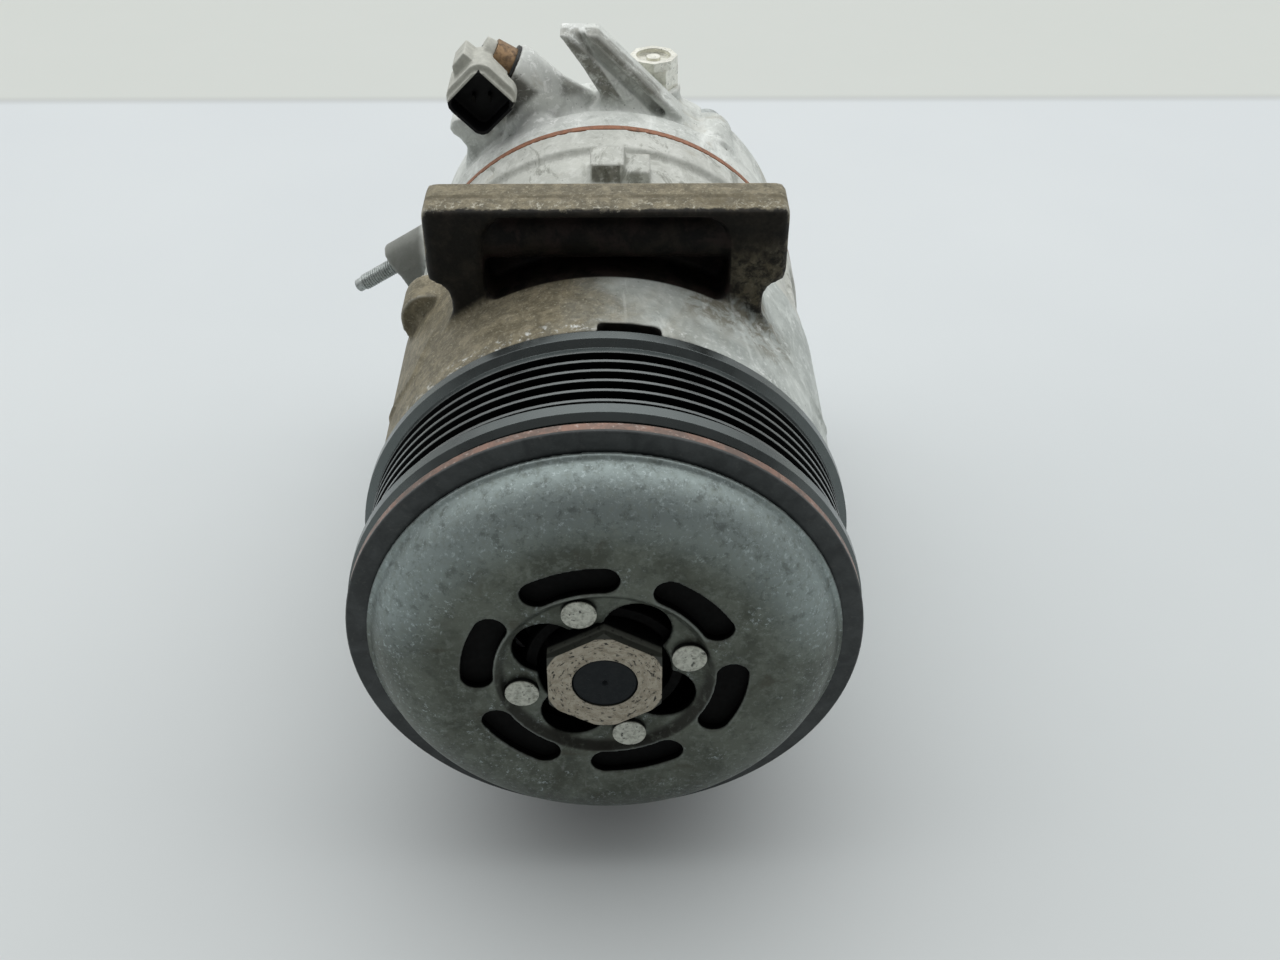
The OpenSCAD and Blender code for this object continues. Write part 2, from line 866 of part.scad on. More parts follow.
// Holes in front of each cylinder that the gas passes through
module gas_holes(y0, y1) {
    for (hole = [suction_hole, discharge_hole])
        around(piston_count, hole[0], piston_angle) rod(hole[1], y0, y1);
}

module housing_gasket() {
    color([0.2, 0.2, 0.2])
    difference() {
        tube(case_r, block_r, joint_y, joint_y + gasket_t);
        bolt_holes(joint_y - eps, joint_y + 1);
    }
}

module cylinder_block() {
    y0 = joint_y + gasket_t;
    y1 = valve_y - gasket_t;
    flange = 11.4;
    waist_r = block_r - block_step;
    pad_y = 92;
    color([0.62, 0.61, 0.58])
    difference() {
        union() {
            revolve() polygon([[0, y0], [block_r, y0], [block_r, y0 + 8], [waist_r, y0 + 10],
                [waist_r, y1 - flange], [block_r, y1 - flange + 0.4], [block_r, y1], [0, y1]]);
            translate([-4.2, pad_y, 45]) cube([8.8, 11, 13]);
            translate([4.6, pad_y, 45]) cube([6.8, 11, 11]);
            for (a = [-20, 20, 160, 200])
                turned(a, block_r - 4) translate([0, y0 + 2, -1.5]) cube([3.5, y1 - y0 - 4, 3]);
        }
        around(piston_count, piston_pitch_r, piston_angle) rod(piston_d / 2, y0 - eps, y1 + eps);
        rod(shaft_r + 1, y0 - eps, shaft_back + 2);
        rod(front_bearing_r, y0 - eps, rear_bearing_y[1]);
        bolt_holes(y0 - eps, y1 + eps);
    }
}

module block_gasket() {
    color([0.2, 0.2, 0.2])
    difference() {
        tube(0, block_r, valve_y - gasket_t, valve_y);
        around(piston_count, piston_pitch_r, piston_angle)
            rod(piston_d / 2, valve_y - 1, valve_y + eps);
        bolt_holes(valve_y - 1, valve_y + eps);
    }
}

module valve_plate() {
    color([0.42, 0.26, 0.2])
    difference() {
        rod(block_r, valve_y, valve_y + valve_t);
        gas_holes(valve_y - eps, valve_y + valve_t + eps);
        bolt_holes(valve_y - eps, valve_y + valve_t + eps);
    }
}

module head_gasket() {
    y0 = valve_y + valve_t;
    color([0.2, 0.2, 0.2])
    difference() {
        tube(0, block_r, y0, y0 + gasket_t);
        gas_holes(y0 - eps, y0 + 1);
        bolt_holes(y0 - eps, y0 + 1);
    }
}

// Rear head with its ports, valve boss, ear and lower lug

// Placed on the control valve axis, local z running out of the bore
module on_valve_axis() {
    translate(valve_mouth) rotate([0, valve_tilt - 90, 0]) children();
}

// Bar or cone along the control valve axis, from one distance to another
module valve_bar(r0, r1, d0, d1) {
    on_valve_axis() translate([0, 0, d0]) cylinder(r1 = r0, r2 = r1, h = d1 - d0);
}

module valve_boss() {
    taper_end = -14;
    body_r0 = valve_stem_r + 1.8;
    valve_bar(collar_r, collar_r, -collar_l, 0);
    valve_bar(body_r0, collar_r, taper_end, -collar_l);
    valve_bar(body_r0, body_r0, -32, taper_end);
    plate(valve_axis_y - 6, valve_axis_y + 7)
        polygon([[-31, 36], [-28.5, 50.5], [-23, 54], [-13, 53], [-8, 40]]);
}

// Arm under the connector, with a round knob at its end
module knob_arm() {
    knob_r = 3;
    knob = [-42.6, 44.6];
    plate(connector_back + 0.5, connector_back + 9.5) {
        translate(knob) circle(knob_r);
        polygon([[-43.6, 41.9], [-41, 38.5], [-42, 33], [-28, 33], [-28, 52], [-41, 47.2]]);
    }
}

// Placed on the port face, local x running out of it and z along it
module on_port_face(y, t) {
    turned(port_tilt) translate([port_face, y, t]) rotate([0, 90, 0]) children();
}

// Rod square to the port face, from one distance to another
module port_rod(y, t, r, d0, d1) {
    on_port_face(y, t) translate([0, 0, d0]) cylinder(r = r, h = d1 - d0);
}

// Block over the pad of the two ports, from one distance to another
module port_pad_block(n0, n1) {
    plate(port_pad_y[0], port_pad_y[1]) rotate(port_tilt)
        translate([n0, port_pad[0]]) square([n1 - n0, port_pad[1] - port_pad[0]]);
}

// Pad of the two ports, and the boss and web of the stud beside it
module port_block() {
    web_w = 7;
    port_pad_block(0, port_face);
    for (shift = [0, -1.8]) port_rod(stud_y, stud_t + shift, stud_boss_r, -32, 0);
    plate(stud_y - web_w / 2, stud_y + web_w / 2) rotate(port_tilt)
        polygon([[20, stud_t], [port_face, stud_t], [port_face + 0.8, -28], [port_face, -12], [20, 0]]);
}

// Two ribs on a web, cut off level at the top
module ear() {
    foot = 20;
    reach = 64;
    draft = 0.3;
    depth = 3.5;
    half = ear_w / 2;
    groove = ear_groove / 2;
    floor_y = ear_y + depth;
    difference() {
        turned(ear_tilt, ear_off) translate([0, 0, foot]) linear_extrude(reach - foot)
            polygon([[-half, ear_y + ear_d], [-half, ear_y], [-groove - draft, ear_y], [-groove, floor_y],
                [groove, floor_y], [groove + draft, ear_y], [half, ear_y], [half, ear_y + ear_d]]);
        translate([-40, ear_y - eps, ear_top]) cube([80, ear_d + 2 * eps, 40]);
    }
}

module rear_lug() {
    edge = 3;
    half = rear_lug_d / 2;
    slab(rear_lug_w) translate([rear_lug_y, 0]) {
        translate([-half, edge - lug_foot]) square([rear_lug_d, lug_foot - 30]);
        translate([edge - half, -lug_foot]) square([rear_lug_d - 2 * edge, 2 * edge]);
        for (side = [-1, 1]) translate([side * (half - edge), edge - lug_foot]) circle(edge);
    }
}

module rear_head_outside() {
    rib = 3;
    hub_t = 3;
    revolve() {
        translate([0, head_y]) square([block_r, head_flange_y - head_y]);
        translate([0, head_flange_y - eps]) square([head_r, head_back - head_edge - head_flange_y + eps]);
        translate([0, head_back - head_edge - eps]) square([head_r - head_edge, head_edge + eps]);
        translate([head_r - head_edge, head_back - head_edge]) circle(head_edge);
    }
    around(bolt_count, bolt_pitch_r, bolt_angle) rod(bolt_boss_r, head_flange_y - eps, bolt_seat_y);
    port_block();
    ear();
    rear_lug();
    valve_boss();
    knob_arm();
    translate([relief_at[0], relief_at[1], 38]) cylinder(r = relief_cap_r + 1, h = relief_seat - 38);
    for (a = [0 : 45 : 135])
        turned(a) translate([-26, head_back - 2, -rib / 2]) cube([52, 4, rib]);
    rod(12, head_back - 2, head_back + hub_t);
}

module rear_head() {
    color([0.6, 0.59, 0.57])
    difference() {
        rear_head_outside();
        around(bolt_count, bolt_pitch_r, bolt_angle)
            rod(bolt_head_r + 1.2, bolt_seat_y, head_back + 10);
        bolt_holes(head_y - eps, bolt_seat_y + eps);
        tube(22, 42, head_y - eps, chamber_back);
        rod(19, head_y - eps, chamber_back + 4);
        valve_bar(valve_r + 0.1, valve_r + 0.1, valve_step, eps);
        valve_bar(valve_stem_r + 0.1, valve_stem_r + 0.1, -29, valve_step + eps);
        port_pad_block(port_face, port_face + 20);
        for (i = [0, 1]) port_rod(port_y, port_t[i], port_r[i], -port_depth, eps);
        port_rod(stud_y, stud_t, stud_root_r + run_gap, -11, eps);
        translate([relief_at[0], relief_at[1], relief_seat - 9]) cylinder(r = 5, h = 10);
        translate([relief_at[0], relief_at[1], relief_seat]) cylinder(r = relief_cap_r + 1.2, h = 10);
        cross_rod(lug_bore_d / 2, rear_lug_w + 2, rear_lug_y, -lower_bore_z);
    }
}

module housing_bolts() {
    washer_r = bolt_head_r + 0.9;
    washer_t = 1.2;
    key_r = 5 / sqrt(3);
    color("gray")
    difference() {
        around(bolt_count, bolt_pitch_r, bolt_angle) {
            rod(bolt_r, bolt_end_y, bolt_seat_y);
            rod(washer_r, bolt_seat_y, bolt_seat_y + washer_t);
            rod(bolt_head_r, bolt_seat_y + washer_t, bolt_seat_y + washer_t + bolt_head_t);
        }
        around(bolt_count, bolt_pitch_r, bolt_angle)
            plate(bolt_seat_y + washer_t + bolt_head_t / 2, bolt_seat_y + washer_t + bolt_head_t + eps)
                circle(key_r, $fn = 6);
    }
}

module control_valve() {
    color([0.4, 0.27, 0.17]) {
        valve_bar(valve_r, valve_r, valve_step + 0.1, valve_out);
        valve_bar(valve_stem_r, valve_stem_r, -28, valve_step + 0.1);
    }
}

module valve_circlip() {
    color("dimgray")
    on_valve_axis() difference() {
        cylinder(r = valve_r + 1.1, h = 0.8);
        translate([0, 0, -eps]) cylinder(r = valve_r + 0.05, h = 2);
        translate([-2.5, 5, -eps]) cube([5, 6, 2]);
    }
}

// Diamond outline of the socket
module socket_outline(side, edge) {
    translate(socket_c) rotate(45) round_rect(side, side, edge);
}

// Socket with a thicker shell over its upper sides and a tab at the upper left
module valve_connector() {
    edge = 3;
    shell_y = socket_front + 1;
    shell_side = 16.2;
    shell_edge = 4.5;
    shell_shift = [0.2, 1.3];
    tab_y = socket_front + 4;
    color([0.07, 0.07, 0.08])
    difference() {
        union() {
            plate(socket_front, connector_back) socket_outline(socket_side, edge);
            plate(shell_y, connector_back) translate(shell_shift) socket_outline(shell_side, shell_edge);
            plate(tab_y, connector_back)
                polygon([[-42.2, 67.3], [-38.8, 71.1], [-36.3, 68.9], [-36, 64], [-41.6, 62.5]]);
            valve_bar(valve_r - 0.8, valve_r - 0.8, valve_out, valve_out + 3);
        }
        plate(socket_front - eps, socket_front + socket_depth)
            socket_outline(socket_side - 2 * socket_wall, edge - socket_wall / 2);
        valve_bar(valve_r + 0.05, valve_r + 0.05, -20, valve_out);
        valve_bar(collar_r + 0.4, collar_r + 0.4, -20, 1.2);
    }
}

module connector_pins() {
    pin_l = 2.6;
    color("goldenrod")
    for (side = [-1, 1])
        translate([socket_c[0] + side * 2.2 - 0.4, socket_front + socket_depth - pin_l, socket_c[1] - 1])
            cube([0.8, pin_l, 2]);
}

module relief_valve() {
    hex_t = 6.4;
    cap_t = 2.6;
    color("gainsboro")
    translate([relief_at[0], relief_at[1], relief_seat]) {
        translate([0, 0, -8.9]) cylinder(r = 5 - run_gap, h = 9);
        cylinder(r = relief_hex / sqrt(3), h = hex_t, $fn = 6);
        difference() {
            translate([0, 0, hex_t]) cylinder(r = relief_cap_r, h = cap_t, $fn = 8);
            translate([0, 0, hex_t + cap_t - 1.4]) cylinder(r = relief_cap_r - 2, h = 3);
        }
        translate([0, 0, hex_t]) cylinder(r = 2, h = cap_t - 0.4);
    }
}

module port_stud() {
    tip_r = 1.7;
    color("silver")
    on_port_face(stud_y, stud_t) {
        translate([0, 0, -10]) cylinder(r = stud_root_r, h = 10 + stud_relief);
        translate([0, 0, stud_relief]) cylinder(r = stud_r, h = stud_l);
        translate([0, 0, stud_relief + stud_l]) cylinder(r1 = stud_r, r2 = tip_r, h = 0.8);
        translate([0, 0, stud_relief + stud_l + 0.8]) cylinder(r = tip_r, h = 1.2);
    }
}

belt_pulley();
pulley_circlip();
bearing_outer_race();
bearing_inner_race();
bearing_balls();
bearing_cages();
bearing_seals();
nose_circlip();
coil_shell();
coil_bobbin();
coil_winding();
coil_circlip();
coil_grommet();
armature_plate();
armature_carrier();
armature_rivets();
damper_ring();
hub_plate();
hub();
hub_rivets();
gap_shims();
shaft_nut();
drive_shaft();
front_housing();
shaft_seal();
seal_circlip();
front_bearing();
thrust_bearing();
lug_plate();
swash_plate();
pistons();
piston_shoes();
rear_bearing();
housing_gasket();
cylinder_block();
block_gasket();
valve_plate();
head_gasket();
rear_head();
housing_bolts();
control_valve();
valve_circlip();
valve_connector();
connector_pins();
relief_valve();
port_stud();
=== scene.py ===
import math

import bmesh
import bpy
from mathutils import Matrix, Vector


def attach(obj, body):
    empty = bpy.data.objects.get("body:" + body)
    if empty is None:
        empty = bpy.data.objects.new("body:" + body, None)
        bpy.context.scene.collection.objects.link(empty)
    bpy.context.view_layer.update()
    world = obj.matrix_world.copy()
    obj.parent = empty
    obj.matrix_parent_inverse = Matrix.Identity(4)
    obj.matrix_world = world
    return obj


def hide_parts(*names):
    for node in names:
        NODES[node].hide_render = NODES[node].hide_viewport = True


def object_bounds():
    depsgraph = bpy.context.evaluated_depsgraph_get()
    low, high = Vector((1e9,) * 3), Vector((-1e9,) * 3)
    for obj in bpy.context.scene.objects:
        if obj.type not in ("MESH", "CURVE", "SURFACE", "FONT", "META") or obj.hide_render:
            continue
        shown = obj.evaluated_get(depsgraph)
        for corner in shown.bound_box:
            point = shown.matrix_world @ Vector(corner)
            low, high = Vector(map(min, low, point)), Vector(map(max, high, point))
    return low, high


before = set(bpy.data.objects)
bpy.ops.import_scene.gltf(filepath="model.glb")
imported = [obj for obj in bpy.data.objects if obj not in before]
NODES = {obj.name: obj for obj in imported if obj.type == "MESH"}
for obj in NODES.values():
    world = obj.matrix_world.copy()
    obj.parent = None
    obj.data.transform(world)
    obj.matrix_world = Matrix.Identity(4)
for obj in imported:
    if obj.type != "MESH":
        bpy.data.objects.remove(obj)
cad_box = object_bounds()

MM = 0.001

# Camera of the photograph, fitted to the pulley's ribs: place in metres, angles in degrees,
# lens and sensor in millimetres
CAMERA_AT = (0.00475, -0.24091, 0.21819)
CAMERA_PITCH = 38.23
CAMERA_YAW = 0.70
CAMERA_ROLL = 0.13
SENSOR_WIDTH = 36.0
LENS = 39.93

# Places that the materials follow, in metres
SLOT_FACE_Y = -0.0313
RECESS_Y = -0.0297
RECESS_R = 0.0233
ARMATURE_FRONT_Y = -0.0199
ARMATURE_R = 0.056
RIBS_FRONT_Y = -0.0107
RIBS_BACK_Y = 0.0107
RIB_CREST_R = 0.0546
BODY_R = 0.055
NUT_FACE_Y = -0.0331
FRONT_WALL_Y = 0.0174
NOTCH_END_Y = 0.0234
LUG_FRONT_Y = 0.041
LUG_TOP_Z = 0.072
LUG_LINE_Y = 0.0472
POCKET_X = 0.0005
POCKET_HALF = 0.0278
POCKET_BACK_Y = 0.0524
BLOCK_BACK_Y = 0.1216
SOCKET_X = -0.0347
SOCKET_Z = 0.0582

# Ear of the rear head: its middle line, then the top of its left edge and the direction across from there
EAR_SLOPE = 0.7071
EAR_OFFSET = 0.0466
EAR_LEFT_X = -0.0123
EAR_LEFT_Z = 0.0727
EAR_LEFT_ACROSS = (0.8416, 0.54)

# Sizes of the solids that the new pieces follow, in millimetres and degrees
BODY_RADIUS = 55.0
PORT_TILT = 211.0
PORT_FACE = 50.8
STUD_Y = 132.0
STUD_SIDE = -38.4
STUD_SUNK = 1.0
STUD_RELIEF = 0.5
STUD_THREAD = 12.0
STUD_PILOT = 2.0
STUD_END_ROUND = 0.5
STUD_PITCH = 0.8
STUD_ROOT = 2.1
STUD_CREST = 2.4
STUD_TIP = 1.95

# Surface that the lugs stand on, and where the table ends at the wall, in metres
FLOOR_Z = cad_box[0][2]
FLOOR_SIZE = 12.0
WALL_Y = 0.424

# Strength of the sky where it is dimmest and brightest, and of the pale backdrop at the horizon
SKY_DIM = 0.05
SKY_BRIGHT = 1.95
BACKDROP = 0.6


# Shader building blocks

def new_material(name):
    """A new material with its node tree and its Principled shader."""
    mat = bpy.data.materials.new(name)
    mat.use_nodes = True
    return mat, mat.node_tree, mat.node_tree.nodes["Principled BSDF"]


def add(tree, kind, inputs=None, **props):
    """A shader node with its properties set and its inputs set or linked."""
    node = tree.nodes.new(kind)
    for key, value in props.items():
        setattr(node, key, value)
    for key, value in (inputs or {}).items():
        if isinstance(value, bpy.types.NodeSocket):
            tree.links.new(value, node.inputs[key])
        else:
            node.inputs[key].default_value = value
    return node


def coords(tree):
    """Position in the part's own frame, in metres."""
    return add(tree, "ShaderNodeTexCoord").outputs["Object"]


def split(tree, vector):
    """The X, Y and Z of a vector."""
    node = add(tree, "ShaderNodeSeparateXYZ", {"Vector": vector})
    return node.outputs["X"], node.outputs["Y"], node.outputs["Z"]


def calc(tree, operation, a, b=0.0):
    """One step of arithmetic."""
    return add(tree, "ShaderNodeMath", {0: a, 1: b}, operation=operation).outputs[0]


def meet(tree, first, *others):
    """Where all masks overlap. A plain number weakens them."""
    for other in others:
        first = calc(tree, "MULTIPLY", first, other)
    return first


def either(tree, first, *others):
    """The strongest of several masks."""
    for other in others:
        first = calc(tree, "MAXIMUM", first, other)
    return first


def without(tree, mask, hole):
    """A mask with another one cut out of it."""
    return calc(tree, "SUBTRACT", mask, meet(tree, mask, hole))


def off(tree, value, centre):
    """Distance of a value from a centre."""
    return calc(tree, "ABSOLUTE", calc(tree, "SUBTRACT", value, centre))


def shaft_radius(tree, vector):
    """Distance from the shaft axis."""
    x, _, z = split(tree, vector)
    flat = add(tree, "ShaderNodeCombineXYZ", {"X": x, "Z": z}).outputs[0]
    return add(tree, "ShaderNodeVectorMath", {0: flat}, operation="LENGTH").outputs["Value"]


def from_socket(tree, x, z):
    """Distances sideways and up from the middle of the connector's socket, added together."""
    return calc(tree, "ADD", off(tree, x, SOCKET_X), off(tree, z, SOCKET_Z))


def fade(tree, value, start, end):
    """0 at start, 1 at end, smooth between."""
    node = add(tree, "ShaderNodeMapRange", {"Value": value, "From Min": start, "From Max": end},
               interpolation_type="SMOOTHSTEP")
    return node.outputs["Result"]


def band(tree, value, start, full, last, end):
    """0 up to start, 1 from full to last, 0 again past the end."""
    return meet(tree, fade(tree, value, start, full), fade(tree, value, end, last))


def spread(tree, value, low, high):
    """A value of 0.3 to 0.7, where most noise lies, stretched over another range."""
    node = add(tree, "ShaderNodeMapRange", {"Value": value, "From Min": 0.3, "From Max": 0.7,
                                            "To Min": low, "To Max": high})
    return node.outputs["Result"]


def noise(tree, size_mm, detail=4.0, roughness=0.55, distortion=0.0, shift=0.0, stretch=None, where=None):
    """Cloudy noise with features of about the given size, moved aside and stretched on request."""
    where = where or coords(tree)
    if stretch:
        where = add(tree, "ShaderNodeVectorMath", {0: where, 1: stretch}, operation="MULTIPLY").outputs[0]
    if shift:
        where = add(tree, "ShaderNodeVectorMath", {0: where, 1: (shift, shift, shift)}).outputs[0]
    node = add(tree, "ShaderNodeTexNoise", {
        "Vector": where, "Scale": 1.0 / (size_mm * MM), "Detail": detail,
        "Roughness": roughness, "Distortion": distortion})
    return node.outputs["Fac"]


def waver(tree, texture, reach):
    """Noise as a shift to both sides, in metres."""
    return calc(tree, "MULTIPLY", calc(tree, "SUBTRACT", texture, 0.5), reach)


def cells(tree, size_mm):
    """Distance to the nearest of randomly scattered points."""
    node = add(tree, "ShaderNodeTexVoronoi", {"Vector": coords(tree), "Scale": 1.0 / (size_mm * MM)})
    return node.outputs["Distance"]


def blend(tree, fac, first, second):
    """One colour at 0, the other at 1."""
    node = add(tree, "ShaderNodeMix", data_type="RGBA")
    for socket, value in ((node.inputs[0], fac), (node.inputs[6], first), (node.inputs[7], second)):
        if isinstance(value, bpy.types.NodeSocket):
            tree.links.new(value, socket)
        elif socket.type == "RGBA":
            socket.default_value = (*value, 1.0)
        else:
            socket.default_value = value
    return node.outputs[2]


def paint(tree, base, colour, *masks):
    """A colour laid over the base where all masks overlap."""
    return blend(tree, meet(tree, *masks), base, colour)


def bump(tree, height, depth_mm, strength=1.0, normal=None):
    """Relief of the given depth."""
    inputs = {"Height": height, "Distance": depth_mm * MM, "Strength": strength}
    if normal is not None:
        inputs["Normal"] = normal
    return add(tree, "ShaderNodeBump", inputs).outputs["Normal"]


def soft_edges(tree, radius_mm):
    """Normal with the sharp edges eased, and a mask of those edges."""
    eased = add(tree, "ShaderNodeBevel", {"Radius": radius_mm * MM}, samples=6).outputs["Normal"]
    true = add(tree, "ShaderNodeNewGeometry").outputs["Normal"]
    same = add(tree, "ShaderNodeVectorMath", {0: eased, 1: true}, operation="DOT_PRODUCT").outputs["Value"]
    return eased, fade(tree, same, 0.99, 0.80)


def ridges_and_creases(tree):
    """Masks of the outer edges and of the inner corners of a finely meshed piece."""
    sharp = add(tree, "ShaderNodeNewGeometry").outputs["Pointiness"]
    return fade(tree, sharp, 0.515, 0.57), fade(tree, sharp, 0.487, 0.44)


def facing_front(tree):
    """Mask of the flat faces turned toward the clutch."""
    normal = add(tree, "ShaderNodeNewGeometry").outputs["Normal"]
    _, y, _ = split(tree, normal)
    return fade(tree, y, -0.78, -0.95)


def link(tree, socket, shader, name):
    """Feeds one input of the shader."""
    tree.links.new(socket, shader.inputs[name])


# Materials

def pulley_black():
    """Black coating: satin on the two lands and matt in the grooves, with painted shade making the grooves
    near black, and the rib crests brighter from rubbing and from a painted highlight line.
    """
    mat, tree, shader = new_material("pulley_black")
    where = coords(tree)
    _, y, _ = split(tree, where)
    radius = shaft_radius(tree, where)
    normal, edge = soft_edges(tree, 0.2)
    ribs = band(tree, y, RIBS_FRONT_Y - 0.0002, RIBS_FRONT_Y, RIBS_BACK_Y, RIBS_BACK_Y + 0.0002)
    crest = meet(tree, ribs, fade(tree, radius, RIB_CREST_R - 0.00014, RIB_CREST_R - 0.00006))
    groove = meet(tree, ribs, fade(tree, radius, RIB_CREST_R - 0.00006, RIB_CREST_R - 0.00014))
    dust = fade(tree, noise(tree, 6, 6, 0.65), 0.5, 0.78)
    base = paint(tree, (0.13, 0.146, 0.146), (0.18, 0.196, 0.194), dust, 0.4)
    worn = meet(tree, edge, fade(tree, noise(tree, 3, 3), 0.35, 0.6))
    base = paint(tree, base, (0.16, 0.165, 0.165), worn, 0.3)
    # Painted shade: the grooves made near black
    base = paint(tree, base, (0.004, 0.0044, 0.0048), groove)
    # Rib crests brighter from rubbing, with a painted highlight line along them
    crest_rub_and_highlight = spread(tree, noise(tree, 2.5, 4, 0.6, 0.0, 0.4), 0.5, 1.0)
    base = paint(tree, base, (0.17, 0.18, 0.18), crest, crest_rub_and_highlight)
    link(tree, base, shader, "Base Color")
    shader.inputs["Metallic"].default_value = 0.95
    satin = spread(tree, noise(tree, 4, 5), 0.21, 0.33)
    link(tree, calc(tree, "ADD", satin, meet(tree, groove, 0.2)), shader, "Roughness")
    link(tree, bump(tree, noise(tree, 1.2, 3), 0.006, 0.5, normal), shader, "Normal")
    return mat


def dish_zinc():
    """Passivated sheet steel: grey-green, mottled, with pale crystals and brown smudges, a painted highlight
    on the upper shoulder, a painted shadow on the lower edge of the recess and painted shade making the
    walls of the slots and lobes black.
    """
    mat, tree, shader = new_material("dish_zinc")
    where = coords(tree)
    _, y, z = split(tree, where)
    radius = shaft_radius(tree, where)
    ridge, crease = ridges_and_creases(tree)
    cloud = noise(tree, 16, 5, 0.6, 0.6)
    fine = noise(tree, 1.6, 6, 0.72)
    base = blend(tree, fade(tree, cloud, 0.38, 0.62), (0.07, 0.077, 0.062), (0.12, 0.132, 0.11))
    upper = fade(tree, z, -0.016, 0.034)
    shoulder = fade(tree, radius, 0.034, 0.0475)
    # Painted highlight: the shoulder lighter, most toward the top
    base = paint(tree, base, (0.3, 0.35, 0.345), shoulder, spread(tree, upper, 0.12, 0.9))
    base = paint(tree, base, (0.225, 0.25, 0.222), fade(tree, fine, 0.47, 0.64), 0.4)
    dull = fade(tree, noise(tree, 2.4, 6, 0.72, 0.3, 0.66), 0.5, 0.66)
    base = paint(tree, base, (0.05, 0.056, 0.048), dull, 0.45)
    specks = fade(tree, noise(tree, 1.0, 5, 0.78, 0.3, 0.31), 0.55, 0.64)
    patches = fade(tree, noise(tree, 9, 4, 0.6, 0.4, 0.17), 0.48, 0.64)
    crystals = meet(tree, specks, either(tree, meet(tree, patches, 0.7), meet(tree, shoulder, 0.6)))
    base = paint(tree, base, (0.58, 0.66, 0.68), crystals, 0.7)
    smudge = fade(tree, noise(tree, 12, 4, 0.62, 0.9, 0.53), 0.53, 0.7)
    flat = fade(tree, radius, 0.046, 0.036)
    base = paint(tree, base, (0.058, 0.053, 0.038), smudge, flat, 0.55)
    # Painted shadow: the lower edge of the recess darkened, broken up by noise
    recess_edge = band(tree, radius, 0.0202, 0.0218, 0.0231, 0.0238)
    dark_tone = fade(tree, noise(tree, 3, 5, 0.7, 0.4, 0.9), 0.25, 0.5)
    low = fade(tree, z, 0.010, -0.006)
    base = paint(tree, base, (0.022, 0.021, 0.018), recess_edge, dark_tone, low, 0.85)
    base = paint(tree, base, (0.03, 0.033, 0.032), crease, 0.6)
    base = paint(tree, base, (0.36, 0.39, 0.38), ridge, 0.35)
    scuffs = fade(tree, noise(tree, 2.2, 3, 0.6, 0.0, 0.77, (1.0, 1.0, 0.16)), 0.68, 0.76)
    base = paint(tree, base, (0.4, 0.42, 0.41), scuffs, 0.25)
    # Painted shade: the walls of the slots and lobes made black
    slot_walls = meet(tree, fade(tree, y, SLOT_FACE_Y + 0.00035, SLOT_FACE_Y + 0.0008),
                      band(tree, radius, RECESS_R, RECESS_R + 0.0003, 0.0315, 0.0325))
    lobe_walls = meet(tree, fade(tree, y, RECESS_Y + 0.00035, RECESS_Y + 0.0008),
                      fade(tree, radius, RECESS_R + 0.0003, RECESS_R))
    base = paint(tree, base, (0.004, 0.004, 0.004), either(tree, slot_walls, lobe_walls))
    link(tree, base, shader, "Base Color")
    shader.inputs["Metallic"].default_value = 0.8
    link(tree, spread(tree, fine, 0.4, 0.58), shader, "Roughness")
    relief = calc(tree, "ADD", noise(tree, 1.0, 5, 0.7), meet(tree, crystals, 0.5))
    link(tree, bump(tree, relief, 0.06, 0.55), shader, "Normal")
    return mat


def armature_steel():
    """Dark oxidised steel plate with a pinkish copper-brown rubbed edge."""
    mat, tree, shader = new_material("armature_steel")
    where = coords(tree)
    _, y, _ = split(tree, where)
    normal, _ = soft_edges(tree, 0.3)
    dark_tone = noise(tree, 7, 5, 0.65, 0.5)
    fine = noise(tree, 1.2, 5, 0.7)
    face = blend(tree, fade(tree, dark_tone, 0.35, 0.7), (0.022, 0.026, 0.027), (0.05, 0.056, 0.057))
    face = paint(tree, face, (0.12, 0.12, 0.115), fade(tree, fine, 0.54, 0.72), 0.3)
    rim = meet(tree, fade(tree, shaft_radius(tree, where), ARMATURE_R - 0.0004, ARMATURE_R - 0.0002),
               fade(tree, y, ARMATURE_FRONT_Y + 0.0007, ARMATURE_FRONT_Y + 0.0011))
    cloud = fade(tree, noise(tree, 5, 5, 0.7, 0.6), 0.38, 0.62)
    copper = blend(tree, cloud, (0.27, 0.16, 0.122), (0.15, 0.108, 0.09))
    scratches = fade(tree, noise(tree, 1.1, 4, 0.7), 0.55, 0.7)
    copper = paint(tree, copper, (0.5, 0.41, 0.37), scratches, 0.75)
    stains = fade(tree, noise(tree, 3.2, 4, 0.7, 0.5, 0.6), 0.6, 0.72)
    copper = paint(tree, copper, (0.07, 0.05, 0.04), stains, 0.7)
    link(tree, blend(tree, rim, face, copper), shader, "Base Color")
    link(tree, spread(tree, rim, 0.3, 0.45), shader, "Metallic")
    link(tree, spread(tree, fine, 0.36, 0.55), shader, "Roughness")
    link(tree, bump(tree, fine, 0.04, 0.5, normal), shader, "Normal")
    return mat


def cast_base(tree, light, mid, pale, pale_share):
    """Colour of bare die casting: cloudy grey with pale oxide in streaks and specks."""
    cloud = noise(tree, 13, 6, 0.62, 0.6)
    base = blend(tree, fade(tree, cloud, 0.36, 0.64), mid, light)
    streaks = fade(tree, noise(tree, 7, 6, 0.68, 0.8, 0.11, (1.0, 0.32, 0.7)), 0.5, 0.68)
    specks = fade(tree, noise(tree, 1.1, 5, 0.75, 0.0, 0.37), 0.52, 0.68)
    oxide = either(tree, meet(tree, streaks, 0.8), meet(tree, specks, 0.55))
    return paint(tree, base, pale, oxide, pale_share)


